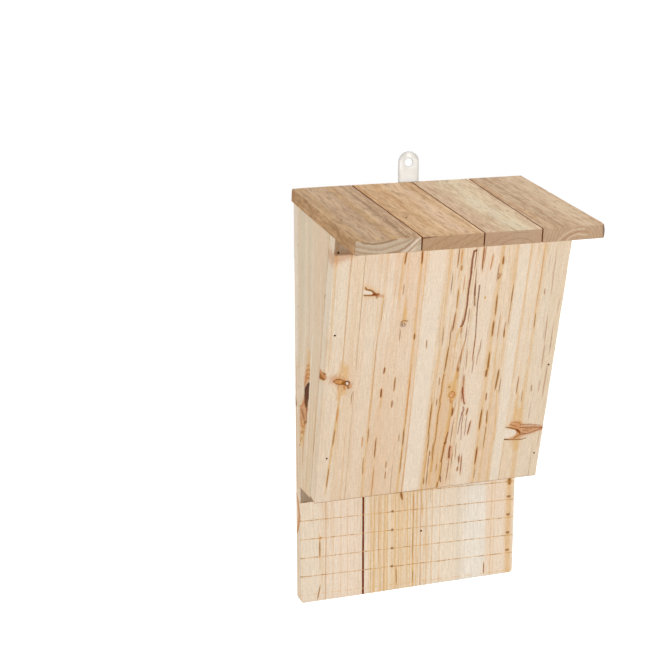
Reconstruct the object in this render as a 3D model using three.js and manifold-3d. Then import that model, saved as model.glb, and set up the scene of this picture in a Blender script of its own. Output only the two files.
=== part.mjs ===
// A wooden bat box that hangs flat on a wall: a grooved back board, two tapering sides,
// a leaning front panel and a roof of four boards, nailed together, with a metal hanging plate.
// Millimetres, +Z up, +X to the viewer's right, -Y towards the viewer, +Y into the wall.

import * as THREE from 'three';
import { mergeVertices } from 'three/addons/utils/BufferGeometryUtils.js';
import Module from 'manifold-3d';

const wasm = await Module();
wasm.setup();

// Boards
const BOX_WIDTH = 200;
const BACK_THICKNESS = 12;
const SIDE_THICKNESS = 12;
const FRONT_THICKNESS = 12;
const ROOF_THICKNESS = 11;
const BACK_HEIGHT = 346;
const LANDING_HEIGHT = 106;
const MOUTH_DEPTH = 26;
const TOP_DEPTH = 78;
const FOOT_CORNER_RADIUS = 3;
const BOARD_GAP = 0.3;

// Glue joints of the back board and front panel, as shares of the box width from its left edge
const backJointShares = [0.2875, 0.5975, 0.8625];
const frontJointShares = [0.13, 0.385, 0.5975, 0.82];

// Climbing grooves across the back board's front face
const GROOVE_PITCH = 17;
const GROOVE_WIDTH = 1;
const GROOVE_DEPTH = 0.8;
const FIRST_GROOVE_HEIGHT = 22;

// Roof
const ROOF_SLOPE_DEGREES = 6.5;
const ROOF_LENGTH = 148;
const ROOF_OVERHANG = 2;
const ROOF_SEAM = 0.6;
const ROOF_BOARD_COUNT = 4;

// Hanging plate and its screws
const HANGER_WIDTH = 18;
const HANGER_LENGTH = 68;
const HANGER_THICKNESS = 1.25;
const HANGER_RISE = 37;
const HANGER_FOOT_RADIUS = 2;
const EYE_RADIUS = 3.4;
const SCREW_PITCH = 14;
const SCREW_END_MARGIN = 8;
const SCREW_LENGTH = 11;
const SCREW_SHANK_RADIUS = 1.5;
const SCREW_HEAD_RADIUS = 3.2;
const SCREW_HEAD_HEIGHT = 2;
const SCREW_TIP_LENGTH = 3;
const SCREW_CLEARANCE = 0.3;
const RECESS_SPAN = 3.4;
const RECESS_WIDTH = 0.9;
const RECESS_DEPTH = 1.1;

// Nails, driven a little below the surface
const NAIL_LENGTH = 25;
const NAIL_SHANK_RADIUS = 0.6;
const NAIL_HEAD_RADIUS = 0.9;
const NAIL_HEAD_HEIGHT = 1;
const NAIL_TIP_LENGTH = 2;
const NAIL_SET_DEPTH = 0.5;
const NAIL_CLEARANCE = 0.3;
const LOWER_FIXING_RADIUS = 1.1;
const LOWER_FIXING_HEIGHT = 52;
const LOWER_FIXING_OFFSET = 10.5;
const CUT_OVERRUN = 5;

// Nail rows: along each side, from its lower to its upper end, and across its thickness from outside
const frontNailsLeft = {
  alongShares: [0.19, 0.66, 0.955],
  acrossShares: [0.62, 0.5, 0.3],
};
const frontNailsRight = {
  alongShares: [0.11, 0.47, 0.95],
  acrossShares: [0.4, 0.34, 0.5],
};
const backNails = {
  alongShares: [0.32, 0.6, 0.89],
  acrossShares: [0.5, 0.5, 0.5],
};

// One nail in each roof board, across the board and across the edge that it enters
const roofNailsFront = {
  boardShares: [0.18, 0.18, 0.83, 0.1],
  edgeShares: [0.3, 0.62, 0.62, 0.68],
};
const roofNailsBack = {
  boardShares: [0.4, 0.55, 0.6, 0.6],
  edgeShares: [0.5, 0.45, 0.55, 0.5],
};

const ROUND_SIDES = 12;
const EYE_SIDES = 36;
const CORNER_STEPS = 8;

// Materials
function wood(color, roughness) {
  return new THREE.MeshStandardMaterial({ color, roughness, metalness: 0 });
}

function metal(color, roughness) {
  return new THREE.MeshStandardMaterial({ color, roughness, metalness: 1 });
}

const paleWood = wood(0xe8d3b2, 0.75);
const creamWood = wood(0xe6d9bf, 0.75);
const tanWood = wood(0xc49f76, 0.72);
const galvanised = metal(0xc9cac6, 0.42);
const darkSteel = metal(0x55504a, 0.5);

// Lines that neighbouring boards share
const slope = THREE.MathUtils.degToRad(ROOF_SLOPE_DEGREES);
const halfWidth = BOX_WIDTH / 2;

function roofUnderside(y) {
  return BACK_HEIGHT + y * Math.tan(slope);
}

function boardTop(y) {
  return roofUnderside(y) - BOARD_GAP;
}

function point(y, z) {
  return new THREE.Vector2(y, z);
}

const sideFoot = point(-MOUTH_DEPTH, LANDING_HEIGHT);
const sideHead = point(-TOP_DEPTH, boardTop(-TOP_DEPTH));
const lean = sideHead.clone().sub(sideFoot).normalize();
const frontNormal = point(-lean.y, lean.x);
const roofRun = point(-Math.cos(slope), -Math.sin(slope));
const roofNormal = point(-Math.sin(slope), Math.cos(slope));

// Solids and meshes
function toSolid(geometry) {
  const bare = geometry.index ? geometry.toNonIndexed() : geometry.clone();
  bare.deleteAttribute('normal');
  bare.deleteAttribute('uv');
  const merged = mergeVertices(bare);
  const corners = merged.index.array;
  const triangles = [];
  for (let i = 0; i < corners.length; i += 3) {
    const [a, b, c] = corners.slice(i, i + 3);
    if (a !== b && b !== c && c !== a) triangles.push(a, b, c);
  }
  return new wasm.Manifold(new wasm.Mesh({
    numProp: 3,
    vertProperties: Float32Array.from(merged.attributes.position.array),
    triVerts: Uint32Array.from(triangles),
  }));
}

function toGeometry(solid) {
  const { numProp, vertProperties, triVerts } = solid.getMesh();
  const positions = [];
  for (let i = 0; i < vertProperties.length; i += numProp) {
    positions.push(vertProperties[i], vertProperties[i + 1], vertProperties[i + 2]);
  }
  const geometry = new THREE.BufferGeometry();
  geometry.setAttribute('position', new THREE.Float32BufferAttribute(positions, 3));
  geometry.setIndex(new THREE.BufferAttribute(Uint32Array.from(triVerts), 1));
  geometry.computeVertexNormals();
  return geometry;
}

function cut(geometry, cutters) {
  let solid = toSolid(geometry);
  for (const cutter of cutters) solid = solid.subtract(toSolid(cutter));
  return toGeometry(solid);
}

function namedMesh(name, geometry, material) {
  const mesh = new THREE.Mesh(geometry, material);
  mesh.name = name;
  return mesh;
}

// A YZ outline carried along X from one plane to another
function board(outline, fromX, toX) {
  const geometry = new THREE.ExtrudeGeometry(new THREE.Shape(outline), {
    depth: toX - fromX,
    bevelEnabled: false,
  });
  const yAxis = new THREE.Vector3(0, 1, 0);
  const zAxis = new THREE.Vector3(0, 0, 1);
  const xAxis = new THREE.Vector3(1, 0, 0);
  geometry.applyMatrix4(new THREE.Matrix4().makeBasis(yAxis, zAxis, xAxis));
  return geometry.translate(fromX, 0, 0);
}

// An XZ outline carried along Y from one plane to another
function plate(shape, fromY, toY) {
  const geometry = new THREE.ExtrudeGeometry(shape, {
    depth: toY - fromY,
    bevelEnabled: false,
    curveSegments: EYE_SIDES / 2,
  });
  geometry.rotateX(Math.PI / 2);
  return geometry.translate(0, toY, 0);
}

// The planes between which the staves of a glued panel lie
function stavePlanes(jointShares) {
  const planes = jointShares.map((share) => share * BOX_WIDTH - halfWidth);
  return [-halfWidth, ...planes, halfWidth];
}

// Nails. The profile's top is the head's face, and its axis is +Y, out of the wood.
function nailProfile(grow, overrun) {
  const shank = NAIL_SHANK_RADIUS + grow;
  const head = NAIL_HEAD_RADIUS + grow;
  return [
    point(0, -NAIL_LENGTH - grow),
    point(shank, NAIL_TIP_LENGTH - NAIL_LENGTH - grow),
    point(shank, -NAIL_HEAD_HEIGHT - grow),
    point(head, -NAIL_HEAD_HEIGHT - grow),
    point(head, overrun),
    point(0, overrun),
  ];
}

function along(geometry, place, outward) {
  const up = new THREE.Vector3(0, 1, 0);
  geometry.applyQuaternion(new THREE.Quaternion().setFromUnitVectors(up, outward));
  return geometry.translate(place.x, place.y, place.z);
}

function sunk(place, outward) {
  return place.clone().addScaledVector(outward, -NAIL_SET_DEPTH);
}

function nail({ place, outward }) {
  return along(new THREE.LatheGeometry(nailProfile(0, 0), ROUND_SIDES), sunk(place, outward), outward);
}

function nailBore({ place, outward }) {
  const bore = new THREE.LatheGeometry(nailProfile(NAIL_CLEARANCE, CUT_OVERRUN), ROUND_SIDES);
  return along(bore, sunk(place, outward), outward);
}

function nailRow(name, nails) {
  return nails.map((each, i) => {
    const solid = toSolid(nail(each));
    return namedMesh(`${name}_${i + 1}`, toGeometry(solid), darkSteel);
  });
}

// Places on the front panel's outer face, a share of the way up the side's slanting edge
const frontFace = sideFoot.clone().addScaledVector(frontNormal, BOARD_GAP + FRONT_THICKNESS);
const slantLength = sideHead.distanceTo(sideFoot);
const frontOutward = new THREE.Vector3(0, frontNormal.x, frontNormal.y);
const backOutward = new THREE.Vector3(0, 1, 0);
const roofOutward = new THREE.Vector3(0, roofNormal.x, roofNormal.y);

function sideNails({ alongShares, acrossShares }, sign, faceAt, outward) {
  return alongShares.map((share, i) => {
    const inset = acrossShares[i] * SIDE_THICKNESS;
    const { x: y, y: z } = faceAt(share);
    return { place: new THREE.Vector3(sign * (halfWidth - inset), y, z), outward };
  });
}

function onFront(share) {
  return frontFace.clone().addScaledVector(lean, share * slantLength);
}

function onBack(share) {
  return point(BACK_THICKNESS, LANDING_HEIGHT + share * (BACK_HEIGHT - LANDING_HEIGHT));
}

const frontLeft = sideNails(frontNailsLeft, -1, onFront, frontOutward);
const frontRight = sideNails(frontNailsRight, 1, onFront, frontOutward);
const backLeft = sideNails(backNails, -1, onBack, backOutward);
const backRight = sideNails(backNails, 1, onBack, backOutward);

// The roof boards' planes, equal boards with a thin seam between them
const roofWidth = BOX_WIDTH + 2 * ROOF_OVERHANG;
const roofBoardWidth = (roofWidth - (ROOF_BOARD_COUNT - 1) * ROOF_SEAM) / ROOF_BOARD_COUNT;
const roofBoardStarts = Array.from(
  { length: ROOF_BOARD_COUNT },
  (_, i) => -roofWidth / 2 + i * (roofBoardWidth + ROOF_SEAM),
);
const roofHeelY = BACK_THICKNESS - BOARD_GAP;
const roofHeel = point(roofHeelY, roofUnderside(roofHeelY));

// The slanting panel's upper edge, from its inner to its outer face
function frontTop(offset) {
  const start = sideFoot.clone().addScaledVector(frontNormal, offset);
  const climb = (boardTop(start.x) - start.y) / (lean.y - lean.x * Math.tan(slope));
  return start.addScaledVector(lean, climb);
}

// Its lower edge, level with the foot of the sides
function frontBottom(offset) {
  const start = sideFoot.clone().addScaledVector(frontNormal, offset);
  return start.addScaledVector(lean, (LANDING_HEIGHT - start.y) / lean.y);
}

const frontTopInner = frontTop(BOARD_GAP);
const frontTopOuter = frontTop(BOARD_GAP + FRONT_THICKNESS);

function roofNails({ boardShares, edgeShares }, rearEdgeY, frontEdgeY) {
  return roofBoardStarts.map((start, i) => {
    const share = i % boardShares.length;
    const x = start + boardShares[share] * roofBoardWidth;
    const y = rearEdgeY + edgeShares[share] * (frontEdgeY - rearEdgeY);
    const run = (roofHeel.x - y) / Math.cos(slope);
    const entry = roofHeel.clone().addScaledVector(roofRun, run);
    const { x: topY, y: topZ } = entry.addScaledVector(roofNormal, ROOF_THICKNESS);
    return { place: new THREE.Vector3(x, topY, topZ), outward: roofOutward };
  });
}

const roofFront = roofNails(roofNailsFront, frontTopInner.x, frontTopOuter.x);
const roofBack = roofNails(roofNailsBack, BACK_THICKNESS, 0);

// Hanging plate: its eye stands above the roof, and its foot is screwed to the back board
const plateRear = BACK_THICKNESS + HANGER_THICKNESS;
const plateTop = BACK_HEIGHT + HANGER_RISE;
const eyeHeight = plateTop - HANGER_WIDTH / 2;
const plateFoot = plateTop - HANGER_LENGTH;
const screwHeights = [plateFoot + SCREW_END_MARGIN, plateFoot + SCREW_END_MARGIN + SCREW_PITCH];

function rod(radius, fromY, toY, x, z, sides) {
  const profile = [point(0, fromY), point(radius, fromY), point(radius, toY), point(0, toY)];
  return new THREE.LatheGeometry(profile, sides).translate(x, 0, z);
}

function screwHoles() {
  const radius = SCREW_SHANK_RADIUS + SCREW_CLEARANCE;
  const end = plateRear - SCREW_LENGTH - SCREW_CLEARANCE;
  return screwHeights.map((z) => rod(radius, end, plateRear + CUT_OVERRUN, 0, z, ROUND_SIDES));
}

function hangerPlate() {
  const half = HANGER_WIDTH / 2;
  const radius = HANGER_FOOT_RADIUS;
  const shape = new THREE.Shape();
  shape.moveTo(-half, plateFoot + radius);
  shape.absarc(radius - half, plateFoot + radius, radius, Math.PI, 1.5 * Math.PI, false);
  shape.absarc(half - radius, plateFoot + radius, radius, 1.5 * Math.PI, 2 * Math.PI, false);
  shape.absarc(0, eyeHeight, half, 0, Math.PI, false);
  const blank = plate(shape, BACK_THICKNESS, plateRear);
  const far = plateRear + CUT_OVERRUN;
  const eye = rod(EYE_RADIUS, BACK_THICKNESS - CUT_OVERRUN, far, 0, eyeHeight, EYE_SIDES);
  return namedMesh('hanger_plate', cut(blank, [eye, ...screwHoles()]), galvanised);
}

function screw(z) {
  const tip = plateRear - SCREW_LENGTH;
  const crown = plateRear + SCREW_HEAD_HEIGHT;
  const shoulder = plateRear + SCREW_HEAD_HEIGHT / 2;
  const dome = (SCREW_HEAD_RADIUS + SCREW_SHANK_RADIUS) / 2;
  const body = new THREE.LatheGeometry([
    point(0, tip),
    point(SCREW_SHANK_RADIUS, tip + SCREW_TIP_LENGTH),
    point(SCREW_SHANK_RADIUS, plateRear),
    point(SCREW_HEAD_RADIUS, plateRear),
    point(SCREW_HEAD_RADIUS, shoulder),
    point(dome, crown),
    point(0, crown),
  ], EYE_SIDES / 2);
  const depth = RECESS_DEPTH + CUT_OVERRUN;
  const middle = crown - RECESS_DEPTH + depth / 2;
  const bars = [[RECESS_SPAN, RECESS_WIDTH], [RECESS_WIDTH, RECESS_SPAN]];
  const slots = bars.map(([x, y]) => new THREE.BoxGeometry(x, depth, y).translate(0, middle, 0));
  return cut(body, slots).translate(0, 0, z);
}

function hangerScrews() {
  return screwHeights.map((z, i) => namedMesh(`hanger_screw_${i + 1}`, screw(z), darkSteel));
}

// Back board: grooved staves, with the foot's outer corners rounded and one small fixing hole
function grooveHeights() {
  const heights = [];
  const last = BACK_HEIGHT - GROOVE_PITCH / 2;
  for (let z = FIRST_GROOVE_HEIGHT; z < last; z += GROOVE_PITCH) heights.push(z);
  return heights;
}

function backOutline() {
  const outline = [
    point(0, 0),
    point(BACK_THICKNESS, 0),
    point(BACK_THICKNESS, boardTop(BACK_THICKNESS)),
    point(0, boardTop(0)),
  ];
  for (const z of grooveHeights().reverse()) {
    const upper = z + GROOVE_WIDTH / 2;
    const lower = z - GROOVE_WIDTH / 2;
    outline.push(point(0, upper), point(GROOVE_DEPTH, upper));
    outline.push(point(GROOVE_DEPTH, lower), point(0, lower));
  }
  return outline;
}

function footCorner(sign) {
  const edge = sign * halfWidth;
  const centre = edge - sign * FOOT_CORNER_RADIUS;
  const beyond = edge + sign * CUT_OVERRUN;
  const outline = [point(centre, -CUT_OVERRUN), point(beyond, -CUT_OVERRUN)];
  outline.push(point(beyond, FOOT_CORNER_RADIUS));
  for (let i = 0; i <= CORNER_STEPS; i += 1) {
    const angle = (i / CORNER_STEPS) * (Math.PI / 2);
    const across = sign * FOOT_CORNER_RADIUS * Math.cos(angle);
    const up = FOOT_CORNER_RADIUS * (1 - Math.sin(angle));
    outline.push(point(centre + across, up));
  }
  return plate(new THREE.Shape(outline), -CUT_OVERRUN, BACK_THICKNESS + CUT_OVERRUN);
}

function lowerFixingHole() {
  const far = BACK_THICKNESS + CUT_OVERRUN;
  const x = LOWER_FIXING_OFFSET;
  return rod(LOWER_FIXING_RADIUS, -CUT_OVERRUN, far, x, LOWER_FIXING_HEIGHT, ROUND_SIDES);
}

function backStaves() {
  const planes = stavePlanes(backJointShares);
  const outline = backOutline();
  const cutters = [...backLeft, ...backRight, ...roofBack].map(nailBore);
  cutters.push(...screwHoles(), lowerFixingHole(), footCorner(-1), footCorner(1));
  return planes.slice(1).map((toX, i) => {
    const name = `back_stave_${i + 1}`;
    return namedMesh(name, cut(board(outline, planes[i], toX), cutters), creamWood);
  });
}

// Sides: upright rear edge on the back board, slanting front edge under the front panel
function side(name, fromX, nails) {
  const outline = [point(0, LANDING_HEIGHT), point(0, boardTop(0)), sideHead, sideFoot];
  const blank = board(outline, fromX, fromX + SIDE_THICKNESS);
  return namedMesh(name, cut(blank, nails.map(nailBore)), creamWood);
}

// Front panel: staves lying on the sides' slanting edges, cut to the roof's slope at the top
function frontStaves() {
  const planes = stavePlanes(frontJointShares);
  const outline = [
    frontBottom(BOARD_GAP),
    frontTopInner,
    frontTopOuter,
    frontBottom(BOARD_GAP + FRONT_THICKNESS),
  ];
  const cutters = [...frontLeft, ...frontRight, ...roofFront].map(nailBore);
  return planes.slice(1).map((toX, i) => {
    const name = `front_stave_${i + 1}`;
    return namedMesh(name, cut(board(outline, planes[i], toX), cutters), paleWood);
  });
}

// Roof: boards that run from the wall side down to the front, square at both ends
function roofBoards() {
  const toe = roofHeel.clone().addScaledVector(roofRun, ROOF_LENGTH);
  const outline = [
    roofHeel,
    roofHeel.clone().addScaledVector(roofNormal, ROOF_THICKNESS),
    toe.clone().addScaledVector(roofNormal, ROOF_THICKNESS),
    toe,
  ];
  const cutters = [...roofFront, ...roofBack].map(nailBore);
  return roofBoardStarts.map((start, i) => {
    const blank = board(outline, start, start + roofBoardWidth);
    return namedMesh(`roof_board_${i + 1}`, cut(blank, cutters), tanWood);
  });
}

const box = new THREE.Group();
box.add(
  ...backStaves(),
  side('side_left', -halfWidth, [...frontLeft, ...backLeft]),
  side('side_right', halfWidth - SIDE_THICKNESS, [...frontRight, ...backRight]),
  ...frontStaves(),
  ...roofBoards(),
  hangerPlate(),
  ...hangerScrews(),
  ...nailRow('front_nail_left', frontLeft),
  ...nailRow('front_nail_right', frontRight),
  ...nailRow('back_nail_left', backLeft),
  ...nailRow('back_nail_right', backRight),
  ...nailRow('roof_nail_front', roofFront),
  ...nailRow('roof_nail_back', roofBack),
);

// The origin is the middle of the hanging eye, on the plate's rear face
box.position.set(0, -plateRear, -eyeHeight);

const part = new THREE.Group();
part.add(box);

export default part;
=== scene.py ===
import math
from typing import NamedTuple

import bmesh
import bpy
from bpy.props import FloatProperty, FloatVectorProperty, PointerProperty
from mathutils import Matrix, Vector, noise
from mathutils.geometry import convex_hull_2d


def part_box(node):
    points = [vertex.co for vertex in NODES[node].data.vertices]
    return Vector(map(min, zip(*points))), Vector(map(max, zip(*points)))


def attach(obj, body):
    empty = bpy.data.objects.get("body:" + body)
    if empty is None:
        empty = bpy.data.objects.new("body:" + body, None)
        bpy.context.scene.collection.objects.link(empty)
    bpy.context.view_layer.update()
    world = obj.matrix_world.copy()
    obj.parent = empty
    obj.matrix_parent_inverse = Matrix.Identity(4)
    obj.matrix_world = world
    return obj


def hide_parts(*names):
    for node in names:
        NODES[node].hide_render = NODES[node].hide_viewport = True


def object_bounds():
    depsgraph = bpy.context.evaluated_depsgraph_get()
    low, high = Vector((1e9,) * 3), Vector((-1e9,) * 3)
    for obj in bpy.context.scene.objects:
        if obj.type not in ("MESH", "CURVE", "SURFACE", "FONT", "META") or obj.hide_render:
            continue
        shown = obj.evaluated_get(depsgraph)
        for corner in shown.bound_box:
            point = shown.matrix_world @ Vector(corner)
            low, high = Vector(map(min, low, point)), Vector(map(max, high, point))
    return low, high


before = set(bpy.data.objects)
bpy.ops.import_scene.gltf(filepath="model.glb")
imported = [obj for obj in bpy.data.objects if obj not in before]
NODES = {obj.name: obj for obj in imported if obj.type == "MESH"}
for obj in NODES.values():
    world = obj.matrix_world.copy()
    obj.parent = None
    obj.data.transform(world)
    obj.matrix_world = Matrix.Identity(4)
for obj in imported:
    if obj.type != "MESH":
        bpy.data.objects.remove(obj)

bl_info = {
    "name": "Bat Box",
    "version": (1, 0, 0),
    "blender": (4, 5, 0),
    "location": "3D View > Sidebar > Bat Box",
    "description": "Dresses a wall-hung wooden bat box: worn boards, nails, hanging plate and studio",
    "category": "Add Mesh",
}

MM = 0.001
CAD_BOX = [list(corner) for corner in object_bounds()]

# How near to a plane or a straight run a point still counts as on it
TOUCH = 0.02 * MM


def tint(code):
    """Turns a colour written as rrggbb, as it looks on screen, into Blender's linear numbers."""
    shares = [int(code[i:i + 2], 16) / 255 for i in (0, 2, 4)]
    linear = [s / 12.92 if s <= 0.04045 else ((s + 0.055) / 1.055) ** 2.4 for s in shares]
    return (*linear, 1.0)


def support(node, *direction):
    """The CAD node's furthest point in a direction."""
    way = Vector(direction)
    return max((vertex.co for vertex in NODES[node].data.vertices), key=way.dot).copy()


# Lines of the construction, read from the frame
SIDE_FOOT = support("side_left", 0, -0.3, -1)
FRONT_FOOT = support("front_stave_1", 0, -0.3, -1)
FRONT_HEAD = support("front_stave_1", 0, -1, 0)
FRONT_UP = Vector((0, *(FRONT_HEAD - FRONT_FOOT).yz)).normalized()
FRONT_OUT = Vector((0, -FRONT_UP.z, FRONT_UP.y))
FRONT_FACE = SIDE_FOOT + FRONT_OUT * FRONT_OUT.dot(FRONT_FOOT - SIDE_FOOT)
ROOF_HEEL = support("roof_board_1", 0, 0, 1)
ROOF_TOE = support("roof_board_1", 0, -1, 0)
ROOF_DOWN = Vector((0, *(ROOF_TOE - ROOF_HEEL).yz)).normalized()
ROOF_OUT = Vector((0, ROOF_DOWN.z, -ROOF_DOWN.y))
ROOF_LEFT = support("roof_board_1", -1, 0, 0).x
RIGHT = Vector((1, 0, 0))
WALLWARD = Vector((0, 1, 0))
UP = Vector((0, 0, 1))
BACK_FOOT, BACK_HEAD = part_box("back_stave_1")
BOX_LEFT = BACK_FOOT.x
BOX_RIGHT = -BOX_LEFT

BACK_STAVES = [f"back_stave_{i}" for i in range(1, 5)]
FRONT_STAVES = [f"front_stave_{i}" for i in range(1, 6)]
ROOF_BOARDS = [f"roof_board_{i}" for i in range(1, 5)]
SCREWS = ["hanger_screw_1", "hanger_screw_2"]
NAIL_WAYS = {"front_nail": FRONT_OUT, "back_nail": WALLWARD, "roof_nail": ROOF_OUT}
NAILS = [name for name in NODES if name.rsplit("_", 2)[0] in NAIL_WAYS]


# The kinds of setting that the sidebar shows: a length, an angle, a light's level, a place
# and a colour
def span(name, text, size, least=0.0):
    return FloatProperty(
        name=name, description=text, default=size, min=least, unit="LENGTH", precision=5)


def tilt(name, text, turn):
    return FloatProperty(
        name=name, description=text, default=turn, subtype="ANGLE", unit="ROTATION")


def brightness(name, text, share):
    return FloatProperty(name=name, description=text, default=share, min=0.0)


def position(name, text, spot):
    return FloatVectorProperty(
        name=name, description=text, default=spot, subtype="TRANSLATION", unit="LENGTH", size=3)


def hue(name, text, code):
    return FloatVectorProperty(
        name=name, description=text, default=tint(code), subtype="COLOR", size=4,
        min=0.0, max=1.0)


class BatBoxTimber(bpy.types.PropertyGroup):
    """Sizes of the boards' detail"""

    edge_radius: span("Edge radius", "Rounding of the sanded edges", 0.5 * MM, 0.1 * MM)
    edge_wear: span("Edge wear", "How much handling has rubbed off the edges", 0.16 * MM)
    wear_length: span("Wear length", "Distance between worn places", 9 * MM, 1 * MM)
    mesh_step: span("Mesh step", "Distance between the loops along a board", 6 * MM, 2 * MM)
    groove_width: span("Groove width", "Width of the sawn climbing grooves", 0.5 * MM, 0.2 * MM)
    groove_depth: span(
        "Groove depth", "Mean depth of the sawn climbing grooves", 0.24 * MM, 0.1 * MM)
    groove_slant: tilt("Groove slant", "How far the saw ran off the level", math.radians(-1.5))
    groove_pitch: span("Groove pitch", "Distance between the climbing grooves", 17 * MM, 5 * MM)
    first_groove: span(
        "First groove", "Height of the lowest groove above the foot", 22 * MM, 5 * MM)
    foot_radius: span(
        "Foot corner radius", "Rounding of the back board's lower corners", 3 * MM, 0.5 * MM)
    fixing_radius: span(
        "Lower fixing radius", "Radius of the small hole in the landing board", 1.1 * MM, 0.5 * MM)
    fixing_height: span(
        "Lower fixing height", "Height of that hole above the foot", 52 * MM, 5 * MM)
    fixing_offset: span(
        "Lower fixing offset", "How far that hole lies to the right of the middle", 10.5 * MM,
        BOX_LEFT)


class BatBoxTints(bpy.types.PropertyGroup):
    """Colours of the wood"""

    cream: hue("Cream", "Ground colour of the walls", "e5d8c4")
    warm: hue("Warm", "Warmer bands of the walls", "e2d0b6")
    pale: hue("Pale", "Palest sapwood", "e8dece")
    pink: hue("Pink", "Pinkish sapwood", "e4ceb5")
    grey: hue("Grey", "Greyish, weathered sapwood", "d5cab3")
    amber: hue("Amber", "Golden stripes of latewood, and stain around dashes", "dab378")
    orange: hue("Orange", "Stain beside knots and resin", "c08046")
    brown: hue("Brown", "Brown growth lines", "8c560c")
    resin: hue("Resin", "Dark red-brown resin streaks", "803e0e")
    red: hue("Red", "Thin dark red streaks", "8a4420")
    tan: hue("Tan", "Wood of a branch", "cc9568")
    # This tone also lays the painted shade on the roof boards' edges in their seams
    burn: hue("Burn", "Rim of a branch, and the roof boards' edges in their seams", "863f10")
    umber: hue("Umber", "Fine lines in a branch, and the heart of a knot", "5e3210")
    knot: hue("Knot", "Darkest part of a knot", "3a1a0a")


class BatBoxMetal(bpy.types.PropertyGroup):
    """Finish of the metal pieces"""

    zinc: hue("Zinc", "Colour of the galvanised plate", "c6c5c1")
    # A greyer tone laid on the plate towards its rim and its top
    greyer_rim_and_top: hue("Tarnish", "Duller rim and top of the plate", "9a9792")
    steel: hue("Steel", "Colour of the nails and screws", "4a3020")
    rust: hue("Rust", "Stain on the nails and screws", "2c1a10")
    edge_radius: span("Edge radius", "Rounding of the stamped edges", 0.25 * MM, 0.02 * MM)


class BatBoxStudio(bpy.types.PropertyGroup):
    """Camera, floor and lights"""

    camera_place: position(
        "Camera place", "Where the camera stands", (-0.44257, -1.08864, 0.16238))
    camera_turn: tilt(
        "Camera turn", "How far the camera looks to the right of straight ahead", 0.3255)
    camera_dip: tilt("Camera dip", "How far the camera looks down", 0.2492)
    camera_roll: tilt("Camera roll", "How far the camera leans", -0.0039)
    lens: FloatProperty(
        name="Focal length", description="Focal length in millimetres on a 36 mm sensor",
        default=79.68, min=10.0)
    floor_drop: span("Floor drop", "Height of the box's foot above the floor", 1.0)
    key_place: position("Key place", "Where the key lamp stands", (0.36, -1.25, 0.17))
    key_radius: span("Key radius", "Radius of the key lamp, which softens its shadows", 22 * MM)
    ambient: brightness("Ambient", "Level of the light from all round", 0.3)
    key: brightness("Key", "Level of the light from the front right", 0.7)
    fill: brightness("Fill", "Level of the light from each side", 0.52)
    top: brightness("Top", "Level of the light from above", 0.26)
    rear: brightness("Rear", "Level of the light from behind", 0.3)


class Wire:
    """A node's output. Sums and products of wires add Math nodes."""

    def __init__(self, finish, socket):
        self.finish = finish
        self.socket = socket

    def math(self, operation, *terms):
        return self.finish.node("ShaderNodeMath", {"operation": operation}, terms)

    def __add__(self, other):
        return self.math("ADD", self, other)

    def __sub__(self, other):
        return self.math("SUBTRACT", self, other)

    def __mul__(self, other):
        return self.math("MULTIPLY", self, other)

    def __truediv__(self, other):
        return self.math("DIVIDE", self, other)

    def __pow__(self, other):
        return self.math("POWER", self, other)

    def __neg__(self):
        return self.math("MULTIPLY", self, -1.0)

    def __abs__(self):
        return self.math("ABSOLUTE", self)

    def least(self, other):
        return self.math("MINIMUM", self, other)

    def most(self, other):
        return self.math("MAXIMUM", self, other)

    def fraction(self):
        return self.math("FRACT", self)

    def fade(self, gone, full, top=1.0):
        """Goes smoothly from 0 where the value is gone to top where it is full."""
        return self.finish.node(
            "ShaderNodeMapRange",
            {"interpolation_type": "SMOOTHSTEP"},
            {"Value": self, "From Min": gone, "From Max": full, "To Min": 0.0, "To Max": top},
        )


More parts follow.
